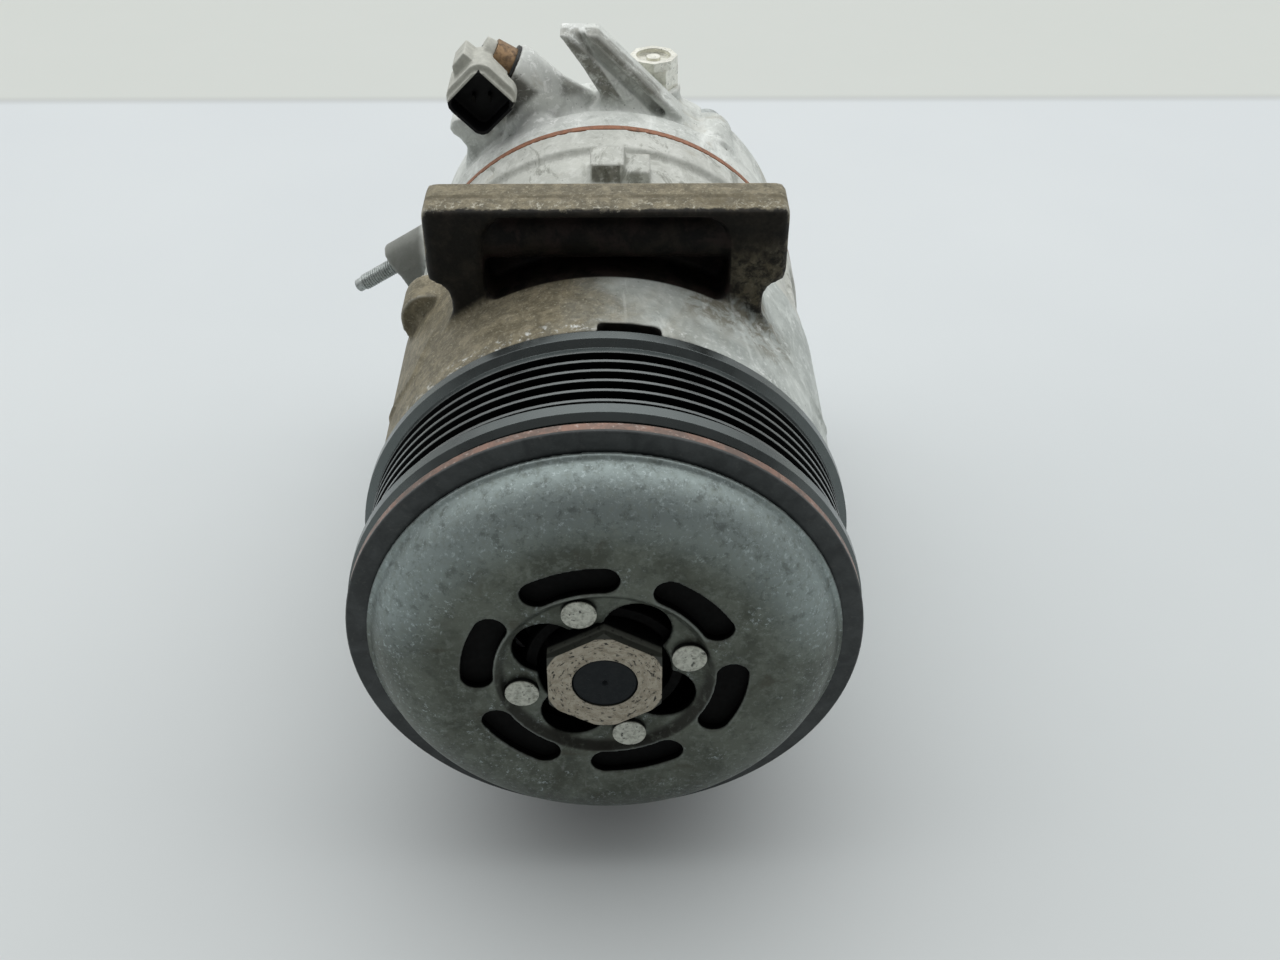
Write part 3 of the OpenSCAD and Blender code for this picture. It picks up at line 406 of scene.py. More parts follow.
def cast_finish(tree, shader, base, dirt, gloss, dark_tone=0.0, shade_colour=(0.0, 0.0, 0.0)):
    """Edges, corners, pores and grain that every casting has, painted shade laid over them where a mask asks
    for it, and the shader's inputs.
    """
    ridge, crease = ridges_and_creases(tree)
    base = paint(tree, base, (0.66, 0.66, 0.62), ridge, 0.35)
    grit = fade(tree, noise(tree, 4, 6, 0.7, 0.6, 0.41), 0.36, 0.58)
    base = paint(tree, base, dirt, crease, grit, 0.9)
    pores = meet(tree, fade(tree, cells(tree, 2.1), 0.15, 0.05), fade(tree, noise(tree, 9, 3), 0.45, 0.6))
    base = paint(tree, base, dirt, pores, 0.6)
    # Painted shade laid over the colour where the mask asks for it
    link(tree, blend(tree, dark_tone, base, shade_colour), shader, "Base Color")
    shader.inputs["Metallic"].default_value = gloss * 0.2
    shader.inputs["Specular IOR Level"].default_value = gloss
    fine = noise(tree, 0.7, 5, 0.7)
    link(tree, spread(tree, fine, 0.42, 0.64), shader, "Roughness")
    relief = calc(tree, "ADD", fine, noise(tree, 5, 4, 0.6))
    link(tree, bump(tree, relief, 0.14, 0.7), shader, "Normal")


def cast_front():
    """Front housing: tan on the left and on the lug bar, grey and streaked on the right, painted shade on
    the lug's front face and in its pocket.
    """
    mat, tree, shader = new_material("cast_front")
    where = coords(tree)
    x, y, z = split(tree, where)
    radius = shaft_radius(tree, where)
    base = cast_base(tree, (0.52, 0.55, 0.525), (0.36, 0.385, 0.365), (0.74, 0.77, 0.74), 0.8)

    # Tan film on the left side and on the lug bar
    mottle = fade(tree, noise(tree, 4, 6, 0.74, 0.4), 0.38, 0.64)
    tan = blend(tree, mottle, (0.12, 0.099, 0.058), (0.25, 0.212, 0.135))
    grains = fade(tree, noise(tree, 0.8, 5, 0.75, 0.0, 0.5), 0.54, 0.64)
    tan = paint(tree, tan, (0.45, 0.41, 0.31), grains, 0.6)
    spots = fade(tree, noise(tree, 1.3, 5, 0.75, 0.0, 0.83), 0.54, 0.66)
    tan = paint(tree, tan, (0.06, 0.048, 0.028), spots, 0.6)
    wander = waver(tree, noise(tree, 22, 4, 0.6, 0.5, 0.2), 0.07)
    left = fade(tree, calc(tree, "ADD", x, wander), 0.025, -0.01)
    patchy = fade(tree, noise(tree, 15, 5, 0.65, 0.6, 0.77), 0.42, 0.58)
    below = meet(tree, fade(tree, z, 0.012, -0.03), spread(tree, patchy, 0.35, 0.8))
    left = without(tree, left, below)
    bar = fade(tree, radius, BODY_R + 0.0012, BODY_R + 0.004)
    base = paint(tree, base, tan, either(tree, left, bar), 0.92)

    # White crust at the front edge, a stain at the lug's foot and flakes on the right
    crust = fade(tree, noise(tree, 2.0, 5, 0.72, 0.3, 0.47), 0.53, 0.63)
    base = paint(tree, base, (0.74, 0.76, 0.74), crust, fade(tree, y, 0.0245, 0.0195),
                 fade(tree, z, 0.012, 0.034), 0.85)
    foot = meet(tree, fade(tree, x, 0.014, 0.022), band(tree, y, 0.024, 0.036, 0.046, 0.05),
                fade(tree, z, 0.03, 0.042))
    stain = fade(tree, noise(tree, 4, 6, 0.72, 0.5, 0.57), 0.42, 0.6)
    base = paint(tree, base, (0.16, 0.135, 0.085), foot, stain, 0.75)
    right = fade(tree, x, 0.024, 0.034)
    flakes = fade(tree, noise(tree, 2.4, 5, 0.7, 0.5, 0.91), 0.56, 0.66)
    base = paint(tree, base, (0.82, 0.84, 0.82), right, flakes,
                 fade(tree, radius, BODY_R + 0.0012, BODY_R + 0.0006), fade(tree, z, 0.0, 0.03), 0.6)

    # Line across the top of the lug bar, and chips in front of it
    bar_top = fade(tree, z, LUG_TOP_Z - 0.0022, LUG_TOP_Z - 0.0012)
    line = fade(tree, off(tree, y, LUG_LINE_Y), 0.0009, 0.0003)
    base = paint(tree, base, (0.085, 0.07, 0.042), bar_top, line, spread(tree, patchy, 0.2, 0.55))
    chips = fade(tree, noise(tree, 1.1, 5, 0.75, 0.0, 0.27), 0.55, 0.64)
    bar_edge = fade(tree, y, LUG_LINE_Y - 0.0004, LUG_LINE_Y - 0.0036)
    base = paint(tree, base, (0.6, 0.58, 0.49), bar_top, chips, bar_edge, 0.7)

    # Painted shade, with some dirt, on the lug's front face except for a patch low on the right, and painted
    # shade in its pocket and in the notch for the coil lead
    ragged = calc(tree, "ADD", y, waver(tree, noise(tree, 3, 5, 0.7), 0.004))
    front_face = meet(tree, fade(tree, radius, BODY_R + 0.0002, BODY_R + 0.0025),
                      fade(tree, ragged, LUG_FRONT_Y + 0.0018, LUG_FRONT_Y + 0.0008),
                      fade(tree, z, 0.0, 0.02))
    worn = meet(tree, right, fade(tree, z, 0.066, 0.056),
                fade(tree, noise(tree, 3, 6, 0.72, 0.4, 0.35), 0.4, 0.6), 0.6)
    front_face = without(tree, front_face, worn)
    inside_x = fade(tree, off(tree, x, POCKET_X), POCKET_HALF + 0.0012, POCKET_HALF + 0.0002)
    inside_y = band(tree, y, LUG_FRONT_Y - 0.0006, LUG_FRONT_Y + 0.0002,
                    POCKET_BACK_Y - 0.0002, POCKET_BACK_Y + 0.0006)
    inside_z = band(tree, z, 0.044, 0.047, LUG_TOP_Z - 0.0022, LUG_TOP_Z - 0.0018)
    pocket = meet(tree, inside_x, inside_y, inside_z)
    notch = meet(tree, band(tree, y, FRONT_WALL_Y - 0.0002, FRONT_WALL_Y + 0.0004,
                            NOTCH_END_Y + 0.0002, NOTCH_END_Y + 0.0008),
                 fade(tree, radius, BODY_R - 0.0001, BODY_R - 0.0005), fade(tree, z, 0.03, 0.04))
    shade_variation = fade(tree, noise(tree, 5, 5, 0.7), 0.4, 0.7)
    shade_colour = blend(tree, shade_variation, (0.006, 0.0055, 0.005), (0.022, 0.018, 0.014))
    brownish = fade(tree, noise(tree, 7, 5, 0.65, 0.4, 0.6), 0.46, 0.62)
    shade_colour = paint(tree, shade_colour, (0.024, 0.017, 0.015), pocket, brownish)
    dark = either(tree, meet(tree, front_face, 0.97), pocket, notch)
    cast_finish(tree, shader, base, (0.035, 0.029, 0.02), 0.15, dark, shade_colour)
    return mat


def ear_paths(tree, x, z):
    """Distances across the ear, toward its upper right: from its middle line and from its left edge."""
    across = calc(tree, "SUBTRACT", calc(tree, "MULTIPLY", calc(tree, "ADD", x, z), EAR_SLOPE), EAR_OFFSET)
    left_x = calc(tree, "MULTIPLY", calc(tree, "SUBTRACT", x, EAR_LEFT_X), EAR_LEFT_ACROSS[0])
    left_z = calc(tree, "MULTIPLY", calc(tree, "SUBTRACT", z, EAR_LEFT_Z), EAR_LEFT_ACROSS[1])
    return across, calc(tree, "ADD", left_x, left_z)


def cast_rear():
    """Block and rear head: whitish oxidised casting with grey clouds and stains, and painted shade on faces
    turned to the front.
    """
    mat, tree, shader = new_material("cast_rear")
    x, y, z = split(tree, coords(tree))
    base = cast_base(tree, (0.7, 0.72, 0.685), (0.53, 0.55, 0.52), (0.88, 0.9, 0.87), 0.85)

    # Grey blots, and white powder that is thickest on the saddle
    blots = fade(tree, noise(tree, 5, 6, 0.72, 0.9, 0.63, (1.0, 0.6, 0.8)), 0.53, 0.64)
    base = paint(tree, base, (0.3, 0.315, 0.29), blots, 0.42)
    powder = fade(tree, noise(tree, 3, 6, 0.72, 0.6, 0.19), 0.53, 0.62)
    base = paint(tree, base, (0.9, 0.92, 0.9), powder, 0.4)
    saddle = meet(tree, band(tree, x, -0.031, -0.027, -0.009, -0.004), fade(tree, z, 0.044, 0.05),
                  fade(tree, y, 0.126, 0.129))
    base = paint(tree, base, (0.94, 0.95, 0.93), saddle, spread(tree, powder, 0.3, 0.95))

    # Brown stains, the darker block and the stud's boss
    stain = fade(tree, noise(tree, 18, 5, 0.62, 0.8, 0.29), 0.58, 0.7)
    base = paint(tree, base, (0.36, 0.32, 0.23), stain, 0.4)
    block = fade(tree, y, BLOCK_BACK_Y - 0.0001, BLOCK_BACK_Y - 0.0011)
    base = paint(tree, base, (0.36, 0.345, 0.285), block, 0.33)
    patches = fade(tree, noise(tree, 7, 6, 0.75, 0.8, 0.37, (1.0, 0.5, 0.8)), 0.54, 0.62)
    base = paint(tree, base, (0.17, 0.172, 0.14), block, patches, 0.6)
    stud_boss = meet(tree, fade(tree, x, -0.0535, -0.056), fade(tree, y, 0.1385, 0.137))
    base = paint(tree, base, (0.15, 0.155, 0.136), stud_boss, 0.85)

    # Painted shade, dark greenish brown, on faces turned to the front and on the front of the ear's left
    # rib, but not in the ear's groove
    shade_breakup = fade(tree, noise(tree, 2.6, 6, 0.72, 0.3, 0.71), 0.72, 0.48)
    tone = fade(tree, noise(tree, 1.6, 5, 0.7, 0.0, 0.44), 0.4, 0.62)
    shade_olive = blend(tree, tone, (0.07, 0.066, 0.047), (0.15, 0.143, 0.11))
    ear_front = either(tree, fade(tree, z, 0.066, 0.068), fade(tree, x, -0.009, -0.007))
    step_front = meet(tree, fade(tree, y, 0.1, 0.099), fade(tree, x, 0.0033, 0.0038))
    front_shade = meet(tree, facing_front(tree), calc(tree, "SUBTRACT", ear_front, step_front))
    rib_side = meet(tree, band(tree, y, 0.137, 0.1375, 0.1425, 0.1448), fade(tree, z, 0.055, 0.057),
                    fade(tree, x, -0.014, -0.012), 0.8)
    across, from_left = ear_paths(tree, x, z)
    groove = meet(tree, fade(tree, from_left, 0.0042, 0.0049), fade(tree, across, 0.0017, 0.0014),
                  fade(tree, y, 0.1, 0.101))
    front_shade = without(tree, either(tree, front_shade, rib_side), groove)
    high = either(tree, fade(tree, z, 0.0535, 0.0575), fade(tree, y, 0.101, 0.1))
    base = paint(tree, base, shade_olive, front_shade, high, shade_breakup, 0.8)

    # Painted shadow of the connector on the casting round it
    connector_shadow = fade(tree, from_socket(tree, x, z), 0.017, 0.0138)
    base = paint(tree, base, (0.05, 0.045, 0.033), connector_shadow, shade_breakup, 0.85)
    cast_finish(tree, shader, base, (0.07, 0.064, 0.052), 0.4)
    return mat


def plain_metal(name, colour, dark, metallic, rough_low, rough_high, size_mm=1.5, pits=0.0, shade_y=None,
                gloss=0.5):
    """Metal with fine tarnish over its colour and eased edges.

    On request it has pits, and turns black between two places toward the rear."""
    mat, tree, shader = new_material(name)
    normal, edge = soft_edges(tree, 0.3)
    tarnish = noise(tree, size_mm, 6, 0.7, 0.3)
    base = blend(tree, fade(tree, tarnish, 0.4, 0.68), colour, dark)
    base = paint(tree, base, tuple(min(1.0, c * 1.4) for c in colour), edge, 0.3)
    holes = fade(tree, noise(tree, size_mm * 0.8, 3, 0.6, 0.2, 0.7), 0.6, 0.68)
    base = paint(tree, base, tuple(c * 0.15 for c in dark), holes, pits)
    if shade_y:
        _, y, _ = split(tree, coords(tree))
        base = paint(tree, base, (0.004, 0.004, 0.004), fade(tree, y, shade_y[0], shade_y[1]))
    link(tree, base, shader, "Base Color")
    shader.inputs["Metallic"].default_value = metallic
    shader.inputs["Specular IOR Level"].default_value = gloss
    link(tree, spread(tree, noise(tree, size_mm * 0.7, 5), rough_low, rough_high), shader, "Roughness")
    link(tree, bump(tree, calc(tree, "SUBTRACT", tarnish, holes), 0.05, 0.5, normal), shader, "Normal")
    return mat


def nut_steel():
    """Tarnished nut: tan face with dark pits along the turning marks; its sides painted with shade: dark
    just behind the face, lighter further back, then black where they go into the recess.
    """
    mat, tree, shader = new_material("nut_steel")
    where = coords(tree)
    x, y, z = split(tree, where)
    normal, edge = soft_edges(tree, 0.25)
    outward = calc(tree, "MULTIPLY", shaft_radius(tree, where), 2.0)
    around = calc(tree, "MULTIPLY", calc(tree, "ARCTAN2", z, x), 0.008)
    turned = add(tree, "ShaderNodeCombineXYZ", {"X": outward, "Y": around, "Z": y}).outputs[0]
    tarnish = noise(tree, 2.2, 6, 0.7, 0.3)
    base = blend(tree, fade(tree, tarnish, 0.36, 0.66), (0.43, 0.385, 0.305), (0.26, 0.225, 0.165))
    fine = noise(tree, 0.9, 5, 0.75, 0.0, 0.3, where=turned)
    base = paint(tree, base, (0.52, 0.49, 0.41), fade(tree, fine, 0.46, 0.66), 0.5)
    pits = fade(tree, noise(tree, 1.1, 4, 0.65, 0.3, 0.7, where=turned), 0.565, 0.63)
    base = paint(tree, base, (0.016, 0.014, 0.01), pits, 0.95)
    base = paint(tree, base, (0.5, 0.47, 0.4), edge, 0.3)
    # Painted shade on the sides: dark just behind the face, lighter further back
    deep = fade(tree, y, SLOT_FACE_Y - 0.0001, SLOT_FACE_Y + 0.0005)
    side_shading = blend(tree, deep, (0.045, 0.048, 0.039), (0.13, 0.136, 0.115))
    side_shading = paint(tree, side_shading, (0.01, 0.01, 0.009), pits, 0.6)
    behind_face = fade(tree, y, NUT_FACE_Y + 0.00005, NUT_FACE_Y + 0.0002)
    base = blend(tree, behind_face, base, side_shading)
    # Painted shadow: black where the sides go into the recess
    recess_shadow = fade(tree, y, RECESS_Y - 0.0001, RECESS_Y + 0.0007)
    base = paint(tree, base, (0.003, 0.003, 0.003), recess_shadow)
    link(tree, base, shader, "Base Color")
    shader.inputs["Metallic"].default_value = 0.35
    link(tree, spread(tree, fine, 0.4, 0.6), shader, "Roughness")
    link(tree, bump(tree, calc(tree, "SUBTRACT", fine, pits), 0.06, 0.6, normal), shader, "Normal")
    return mat


def soft_black(name, colour, pale, rough, gloss):
    """Rubber or moulded plastic with a dusty bloom."""
    mat, tree, shader = new_material(name)
    normal, edge = soft_edges(tree, 0.35)
    dust = fade(tree, noise(tree, 3, 6, 0.7), 0.48, 0.75)
    base = paint(tree, colour, pale, dust, 0.5)
    base = paint(tree, base, pale, edge, 0.4)
    link(tree, base, shader, "Base Color")
    link(tree, spread(tree, noise(tree, 1.2, 4), rough, rough + 0.15), shader, "Roughness")
    shader.inputs["Specular IOR Level"].default_value = gloss
    link(tree, bump(tree, noise(tree, 0.4, 3), 0.03, 0.5, normal), shader, "Normal")
    return mat


def connector_plastic():
    """Black moulding, the shell over its upper sides grey with dried dust."""
    mat, tree, shader = new_material("connector_plastic")
    x, _, z = split(tree, coords(tree))
    outside = fade(tree, from_socket(tree, x, z), 0.0093, 0.0096)
    ragged = calc(tree, "ADD", z, waver(tree, noise(tree, 2.5, 4, 0.6), 0.004))
    upper = fade(tree, ragged, SOCKET_Z - 0.0012, SOCKET_Z + 0.0008)
    dust = blend(tree, fade(tree, noise(tree, 2, 5, 0.7), 0.35, 0.65), (0.5, 0.5, 0.45), (0.62, 0.62, 0.56))
    patchy = fade(tree, noise(tree, 1.5, 5, 0.7, 0.0, 0.3), 0.15, 0.32)
    base = paint(tree, (0.005, 0.005, 0.006), dust, outside, upper, patchy, 0.92)
    link(tree, base, shader, "Base Color")
    link(tree, spread(tree, noise(tree, 1.2, 4), 0.4, 0.6), shader, "Roughness")
    shader.inputs["Specular IOR Level"].default_value = 0.15
    link(tree, bump(tree, noise(tree, 0.5, 3), 0.03, 0.5), shader, "Normal")
    return mat


CAST_REAR = cast_rear()
STEEL_BRIGHT = plain_metal("steel_bright", (0.55, 0.55, 0.55), (0.4, 0.4, 0.39), 0.9, 0.25, 0.45)
STEEL_DARK = plain_metal("steel_dark", (0.05, 0.05, 0.05), (0.03, 0.028, 0.026), 0.6, 0.4, 0.6)
HUB_BLACK = plain_metal("hub_black", (0.003, 0.003, 0.003), (0.005, 0.005, 0.005), 0.0, 0.7, 0.9,
                        gloss=0.1)
RIVET = plain_metal("rivet", (0.58, 0.59, 0.52), (0.27, 0.275, 0.23), 0.3, 0.35, 0.55,
                    size_mm=1.3, pits=0.9, shade_y=(SLOT_FACE_Y + 0.0004, SLOT_FACE_Y + 0.0007))
ZINC = plain_metal("zinc", (0.5, 0.53, 0.52), (0.3, 0.32, 0.31), 0.7, 0.28, 0.48)
NICKEL = plain_metal("nickel", (0.86, 0.85, 0.77), (0.62, 0.61, 0.54), 0.7, 0.25, 0.45)
RUST = plain_metal("rust", (0.36, 0.165, 0.095), (0.2, 0.1, 0.062), 0.1, 0.6, 0.85)
VALVE_BROWN = plain_metal("valve_brown", (0.3, 0.19, 0.1), (0.1, 0.062, 0.036), 0.5, 0.35, 0.6)
SHAFT_DARK = plain_metal("shaft_dark", (0.006, 0.009, 0.0115), (0.011, 0.014, 0.016), 0.0, 0.4, 0.55,
                         gloss=0.15)
COPPER = plain_metal("copper", (0.5, 0.22, 0.1), (0.3, 0.13, 0.06), 0.9, 0.3, 0.5)
# The connector's pins, tin in truth, painted near black: painted shade deep in the socket
PINS_IN_SHADE = plain_metal("pins_in_shade", (0.007, 0.0065, 0.006), (0.004, 0.004, 0.0035), 0.0, 0.5, 0.7,
                       gloss=0.1)
RUBBER = soft_black("rubber", (0.0025, 0.0025, 0.0025), (0.006, 0.006, 0.006), 0.6, 0.08)
PLASTIC = soft_black("plastic", (0.004, 0.004, 0.0045), (0.012, 0.012, 0.012), 0.42, 0.25)

LOOKS = {
    pulley_black(): ["belt_pulley"],
    dish_zinc(): ["hub_plate"],
    armature_steel(): ["armature_plate"],
    cast_front(): ["front_housing"],
    CAST_REAR: ["cylinder_block", "rear_head", "pistons"],
    STEEL_BRIGHT: ["bearing_outer_race", "bearing_inner_race", "bearing_balls", "gap_shims", "front_bearing",
                   "thrust_bearing", "rear_bearing", "piston_shoes"],
    STEEL_DARK: ["pulley_circlip", "nose_circlip", "coil_shell", "coil_circlip", "seal_circlip", "lug_plate",
                 "swash_plate", "valve_circlip"],
    HUB_BLACK: ["hub", "armature_carrier", "armature_rivets"],
    nut_steel(): ["shaft_nut"],
    SHAFT_DARK: ["drive_shaft"],
    RIVET: ["hub_rivets"],
    ZINC: ["housing_bolts", "port_stud"],
    NICKEL: ["relief_valve"],
    RUST: ["valve_plate", "block_gasket", "head_gasket"],
    VALVE_BROWN: ["control_valve"],
    COPPER: ["coil_winding"],
    PINS_IN_SHADE: ["connector_pins"],
    RUBBER: ["bearing_seals", "damper_ring", "shaft_seal", "housing_gasket"],
    PLASTIC: ["bearing_cages", "coil_bobbin", "coil_grommet"],
    connector_plastic(): ["valve_connector"],
}

for look, names in LOOKS.items():
    for name in names:
        mesh = NODES[name].data
        mesh.materials.clear()
        mesh.materials.append(look)


# Pieces with rounded edges, grown from the solids

def new_piece(name, mesh, body, node):
    """Puts a mesh in the scene in place of a solid, riding on the same body."""
    piece = bpy.data.objects.new(name, mesh)
    bpy.context.scene.collection.objects.link(piece)
    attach(piece, body)
    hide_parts(node)


def swept_ridge(path, radius, height, foot, crest, root=2.0, steps=12):
    """Mesh of a low ridge on a cylinder about the shaft, along points of angle and station.

    Foot and crest are half its width at the bottom and at the top, and the root is how far it goes in."""
    verts = []
    faces = []
    rows = []
    for (a0, y0), (a1, y1) in zip(path, path[1:]):
        rows += [(a0 + (a1 - a0) * i / steps, y0 + (y1 - y0) * i / steps) for i in range(steps)]
    rows.append(path[-1])
    bottom = radius - root
    top = radius + height
    section = ((bottom, -foot), (top, -crest), (top, crest), (bottom, foot))
    for i, (angle, y) in enumerate(rows):
        a0, y0 = rows[max(i - 1, 0)]
        a1, y1 = rows[min(i + 1, len(rows) - 1)]
        along = Vector((math.radians(a1 - a0) * radius, y1 - y0, 0.0)).normalized()
        for r, side in section:
            turn = math.radians(angle) - along.y * side / radius
            verts.append((r * math.cos(turn) * MM, (y + along.x * side) * MM, r * math.sin(turn) * MM))
    for i in range(len(rows) - 1):
        for k in range(4):
            a, b = 4 * i + k, 4 * i + (k + 1) % 4
            faces.append((a, b, b + 4, a + 4))
    faces += [(3, 2, 1, 0), tuple(range(len(verts) - 4, len(verts)))]
    mesh = bpy.data.meshes.new("ridge")
    mesh.from_pydata(verts, [], faces)
    return mesh


def prism(outline, stations):
    """Mesh of an outline seen from the front, drawn out from one station to another."""
    count = len(outline)
    verts = [(x * MM, y * MM, z * MM) for y in stations for x, z in outline]
    faces = [tuple(range(count)), tuple(range(2 * count - 1, count - 1, -1))]
    for i in range(count):
        k = (i + 1) % count
        faces.append((k, i, i + count, k + count))
    mesh = bpy.data.meshes.new("prism")
    mesh.from_pydata(verts, [], faces)
    return mesh


def evaluated(work):
    """New mesh with an object's modifiers applied."""
    bpy.context.view_layer.update()
    shown = work.evaluated_get(bpy.context.evaluated_depsgraph_get())
    return bpy.data.meshes.new_from_object(shown)


def rounded(node, voxel_mm, passes, faces, extras, fillets, weld_mm=0.002):
    """Mesh of a solid with all its edges rounded, as cast, pressed or moulded.

    The extras are meshes grown onto it. The fillets are places, each given as a centre, a reach and a number
    of passes, where its corners are eased further."""
    source = NODES[node]
    full = bmesh.new()
    full.from_mesh(source.data)
    bmesh.ops.remove_doubles(full, verts=full.verts, dist=weld_mm * MM)
    for extra in extras:
        full.from_mesh(extra)
    start = bpy.data.meshes.new("start")
    full.to_mesh(start)
    full.free()
    work = bpy.data.objects.new("work", start)
    bpy.context.scene.collection.objects.link(work)
    remesh = work.modifiers.new("remesh", "REMESH")
    remesh.mode = "VOXEL"
    remesh.voxel_size = voxel_mm * MM
    work.data = evaluated(work)
    work.modifiers.clear()
    smooth = work.modifiers.new("smooth", "SMOOTH")
    smooth.factor = 0.5
    smooth.iterations = passes
    for centre, reach, steps in fillets:
        group = work.vertex_groups.new(name="fillet")
        middle = Vector(centre) * MM
        for vert in work.data.vertices:
            share = 1.0 - (vert.co - middle).length / (reach * MM)
            if share > 0.0:
                group.add([vert.index], min(1.0, 2.0 * share), "REPLACE")
        ease = work.modifiers.new("ease", "SMOOTH")
        ease.vertex_group = group.name
        ease.iterations = steps
    count = len(work.data.polygons)
    if faces < count * 2:
        thin = work.modifiers.new("thin", "DECIMATE")
        thin.ratio = faces / (count * 2)
    mesh = evaluated(work)
    bpy.data.objects.remove(work)
    mesh.materials.clear()
    mesh.materials.append(source.data.materials[0])
    for face in mesh.polygons:
        face.use_smooth = True
    return mesh


# Parting lines of the front housing, as angle and station
PARTING_LINES = [
    [(47.8, 42.4), (42.4, 39.0), (34.6, 31.8), (18.0, 32.3)],
    [(137.4, 46.4), (145.1, 34.3), (159.2, 35.4)],
]
RIDGES = [swept_ridge(path, BODY_RADIUS, height=0.8, foot=1.5, crest=0.6) for path in PARTING_LINES]

# Back of the notch for the coil lead, which is shallow in the photograph, as X and Z and as stations
NOTCH_FOOT = [(13.5, 44.0), (-2.5, 44.0)]
NOTCH_ARC = [(x, math.sqrt(BODY_RADIUS ** 2 - x ** 2)) for x in (-2.5, 0.2, 2.9, 5.5, 8.2, 10.8, 13.5)]
NOTCH_BACK = prism(NOTCH_ARC + NOTCH_FOOT, (21.6, 24.4))

# Left rib of the rear head's ear, which widens toward its foot, as X and Z and as stations
EAR_OUTLINE = [(-12.3, 72.7), (-6.8, 64.8), (-1.9, 56.5), (-3.3, 53.8), (-6.5, 51.5), (-6.5, 46.0),
               (16.0, 46.0), (7.1, 56.5), (-1.2, 64.8), (-9.1, 72.7)]
EAR_FOOT = prism(EAR_OUTLINE, (138.0, 146.5))

# Inner corners of the rear head: centre, reach and passes
HEAD_FILLETS = [
    ((-20.0, 138.0, 53.0), 15.0, 14),
    ((-38.0, 147.0, 40.0), 12.0, 10),
    ((4.0, 140.0, 54.0), 10.0, 8),
    ((-56.0, 132.0, 4.0), 12.0, 8),
]

# Each rounded node: voxel size, smoothing passes, triangles kept, body, slot, extras and fillets
ROUNDED = {
    "front_housing": (0.75, 3, 80000, "housing", "cast_brown", RIDGES + [NOTCH_BACK], ()),
    "cylinder_block": (0.75, 2, 50000, "housing", "cast_grey", (), ()),
    "rear_head": (0.7, 3, 90000, "housing", "cast_grey", [EAR_FOOT], HEAD_FILLETS),
    "valve_connector": (0.3, 2, 20000, "housing", "black_plastic", (), ()),
    "hub_plate": (0.42, 3, 70000, "shaft", "zinc_grey", (), ()),
}
for node, (voxel, passes, faces, body, slot, extras, fillets) in ROUNDED.items():
    new_piece(node + "_rounded", rounded(node, voxel, passes, faces, extras, fillets), body, node)


# Threaded stud

def stud_radius(depth, turn):
    """Radius of the stud at a distance along it, with the thread's helix."""
    if depth < STUD_RELIEF:
        return STUD_ROOT
    if depth > STUD_RELIEF + STUD_THREAD:
        return STUD_TIP
    phase = (depth / STUD_PITCH - turn) % 1.0
    crest = min(1.0, max(0.0, 2.2 * abs(2.0 * phase - 1.0) - 0.6))
    run_out = min(1.0, (STUD_RELIEF + STUD_THREAD - depth) / STUD_PITCH)
    top = STUD_TIP + (STUD_CREST - STUD_TIP) * run_out
    return STUD_TIP + (top - STUD_TIP) * crest


def threaded_stud(around=28, step=0.09):
    """Stud with a cut thread, a neck at the boss and a plain pilot tip with a rounded end."""
    tilt = math.radians(PORT_TILT)
    out = Vector((math.cos(tilt), 0.0, math.sin(tilt)))
    side = Vector((-math.sin(tilt), 0.0, math.cos(tilt)))
    ahead = Vector((0.0, 1.0, 0.0))
    base = out * PORT_FACE + side * STUD_SIDE + ahead * STUD_Y
    length = STUD_RELIEF + STUD_THREAD + STUD_PILOT
    count = int((length + STUD_SUNK) / step)
    verts = []
    faces = []
    for i in range(count + 1):
        depth = -STUD_SUNK + (length + STUD_SUNK) * i / count
        end_round = max(0.0, depth - length + STUD_END_ROUND) ** 2 * 1.6
        for j in range(around):
            turn = j / around
            r = stud_radius(depth, turn) - end_round
            angle = 2.0 * math.pi * turn
            point = base + out * depth + (side * math.cos(angle) + ahead * math.sin(angle)) * r
            verts.append(point * MM)
    for i in range(count):
        for j in range(around):
            k = (j + 1) % around
            faces.append((i * around + j, i * around + k, (i + 1) * around + k, (i + 1) * around + j))
    faces.append(tuple(reversed(range(around))))
    faces.append(tuple(range(count * around, (count + 1) * around)))
    mesh = bpy.data.meshes.new("stud")
    mesh.from_pydata(verts, [], faces)
    mesh.materials.append(ZINC)
    return mesh


new_piece("port_stud_threaded", threaded_stud(), "housing", "port_stud")


# Floor

def floor_material():
    """Pale smooth table top, with painted shading darker toward the front, and beyond its edge the foot of a
    wall with a painted shadow line along it.
    """
    mat, tree, shader = new_material("table_top")
    _, y, _ = split(tree, coords(tree))
    # Painted shading: the table darker toward the front, lighter toward the back
    depth = fade(tree, y, -0.35, 0.4)
    cloud = fade(tree, noise(tree, 300, 4, 0.5), 0.3, 0.7)
    near = blend(tree, cloud, (0.54, 0.565, 0.56), (0.58, 0.6, 0.6))
    far = blend(tree, cloud, (0.66, 0.69, 0.71), (0.69, 0.72, 0.735))
    base = blend(tree, depth, near, far)
    base = paint(tree, base, (0.62, 0.64, 0.61), fade(tree, y, WALL_Y - 0.002, WALL_Y + 0.003))
    # Painted shadow: a grey line along the foot of the wall
    wall_foot_shadow = band(tree, y, WALL_Y - 0.006, WALL_Y, WALL_Y, WALL_Y + 0.006)
    base = paint(tree, base, (0.45, 0.46, 0.45), wall_foot_shadow, 0.5)
    link(tree, base, shader, "Base Color")
    link(tree, spread(tree, noise(tree, 40, 4), 0.45, 0.6), shader, "Roughness")
    shader.inputs["Specular IOR Level"].default_value = 0.2
    return mat


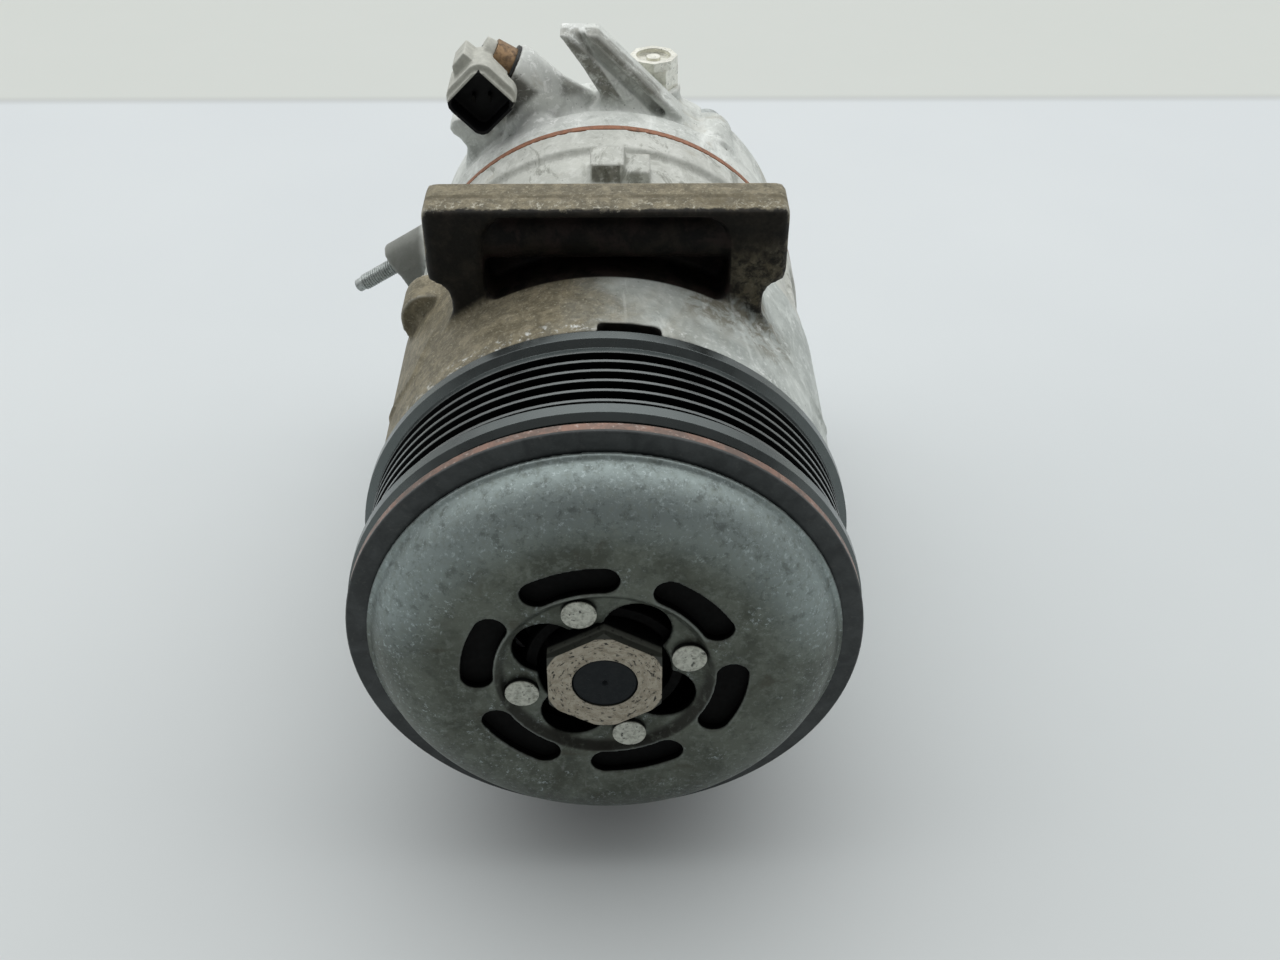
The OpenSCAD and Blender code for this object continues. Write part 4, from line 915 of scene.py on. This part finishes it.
def make_floor():
    """A large level square under the lugs."""
    half = FLOOR_SIZE / 2
    square = [(-half, -half), (half, -half), (half, half), (-half, half)]
    mesh = bpy.data.meshes.new("floor")
    mesh.from_pydata([(x, y, FLOOR_Z) for x, y in square], [], [(0, 1, 2, 3)])
    floor = bpy.data.objects.new("floor", mesh)
    bpy.context.scene.collection.objects.link(floor)
    mesh.materials.append(floor_material())


make_floor()


# Light

def make_world():
    """Soft light from all round, brighter from above and behind, and a pale backdrop at the horizon."""
    world = bpy.data.worlds.new("studio")
    bpy.context.scene.world = world
    world.use_nodes = True
    tree = world.node_tree
    sky = tree.nodes["Background"]
    direction = add(tree, "ShaderNodeTexCoord").outputs["Generated"]
    _, y, z = split(tree, direction)
    behind = spread(tree, fade(tree, y, -0.6, 0.2), 0.12, 1.0)
    around = meet(tree, fade(tree, z, -0.1, 0.45), 0.5)
    overhead = meet(tree, fade(tree, z, 0.35, 0.9), 0.5)
    above = calc(tree, "ADD", around, overhead)
    level = calc(tree, "ADD", meet(tree, behind, above, SKY_BRIGHT - SKY_DIM), SKY_DIM)
    ray = add(tree, "ShaderNodeLightPath").outputs
    seen = either(tree, ray["Is Camera Ray"], ray["Is Glossy Ray"], ray["Is Transmission Ray"])
    horizon = meet(tree, seen, fade(tree, z, 0.22, 0.06), BACKDROP)
    link(tree, either(tree, level, horizon), sky, "Strength")
    sky.inputs["Color"].default_value = (0.985, 1.0, 0.995, 1.0)


make_world()


# Camera

def make_camera():
    """The photograph's viewpoint."""
    data = bpy.data.cameras.new("camera")
    data.sensor_fit = "HORIZONTAL"
    data.sensor_width = SENSOR_WIDTH
    data.lens = LENS
    data.clip_start = 0.01
    camera = bpy.data.objects.new("camera", data)
    turn = (Matrix.Rotation(math.radians(-CAMERA_YAW), 4, "Z")
            @ Matrix.Rotation(math.radians(90 - CAMERA_PITCH), 4, "X")
            @ Matrix.Rotation(math.radians(CAMERA_ROLL), 4, "Z"))
    camera.matrix_world = Matrix.Translation(CAMERA_AT) @ turn
    bpy.context.scene.collection.objects.link(camera)
    bpy.context.scene.camera = camera


make_camera()
bpy.context.scene.view_settings.view_transform = "Standard"
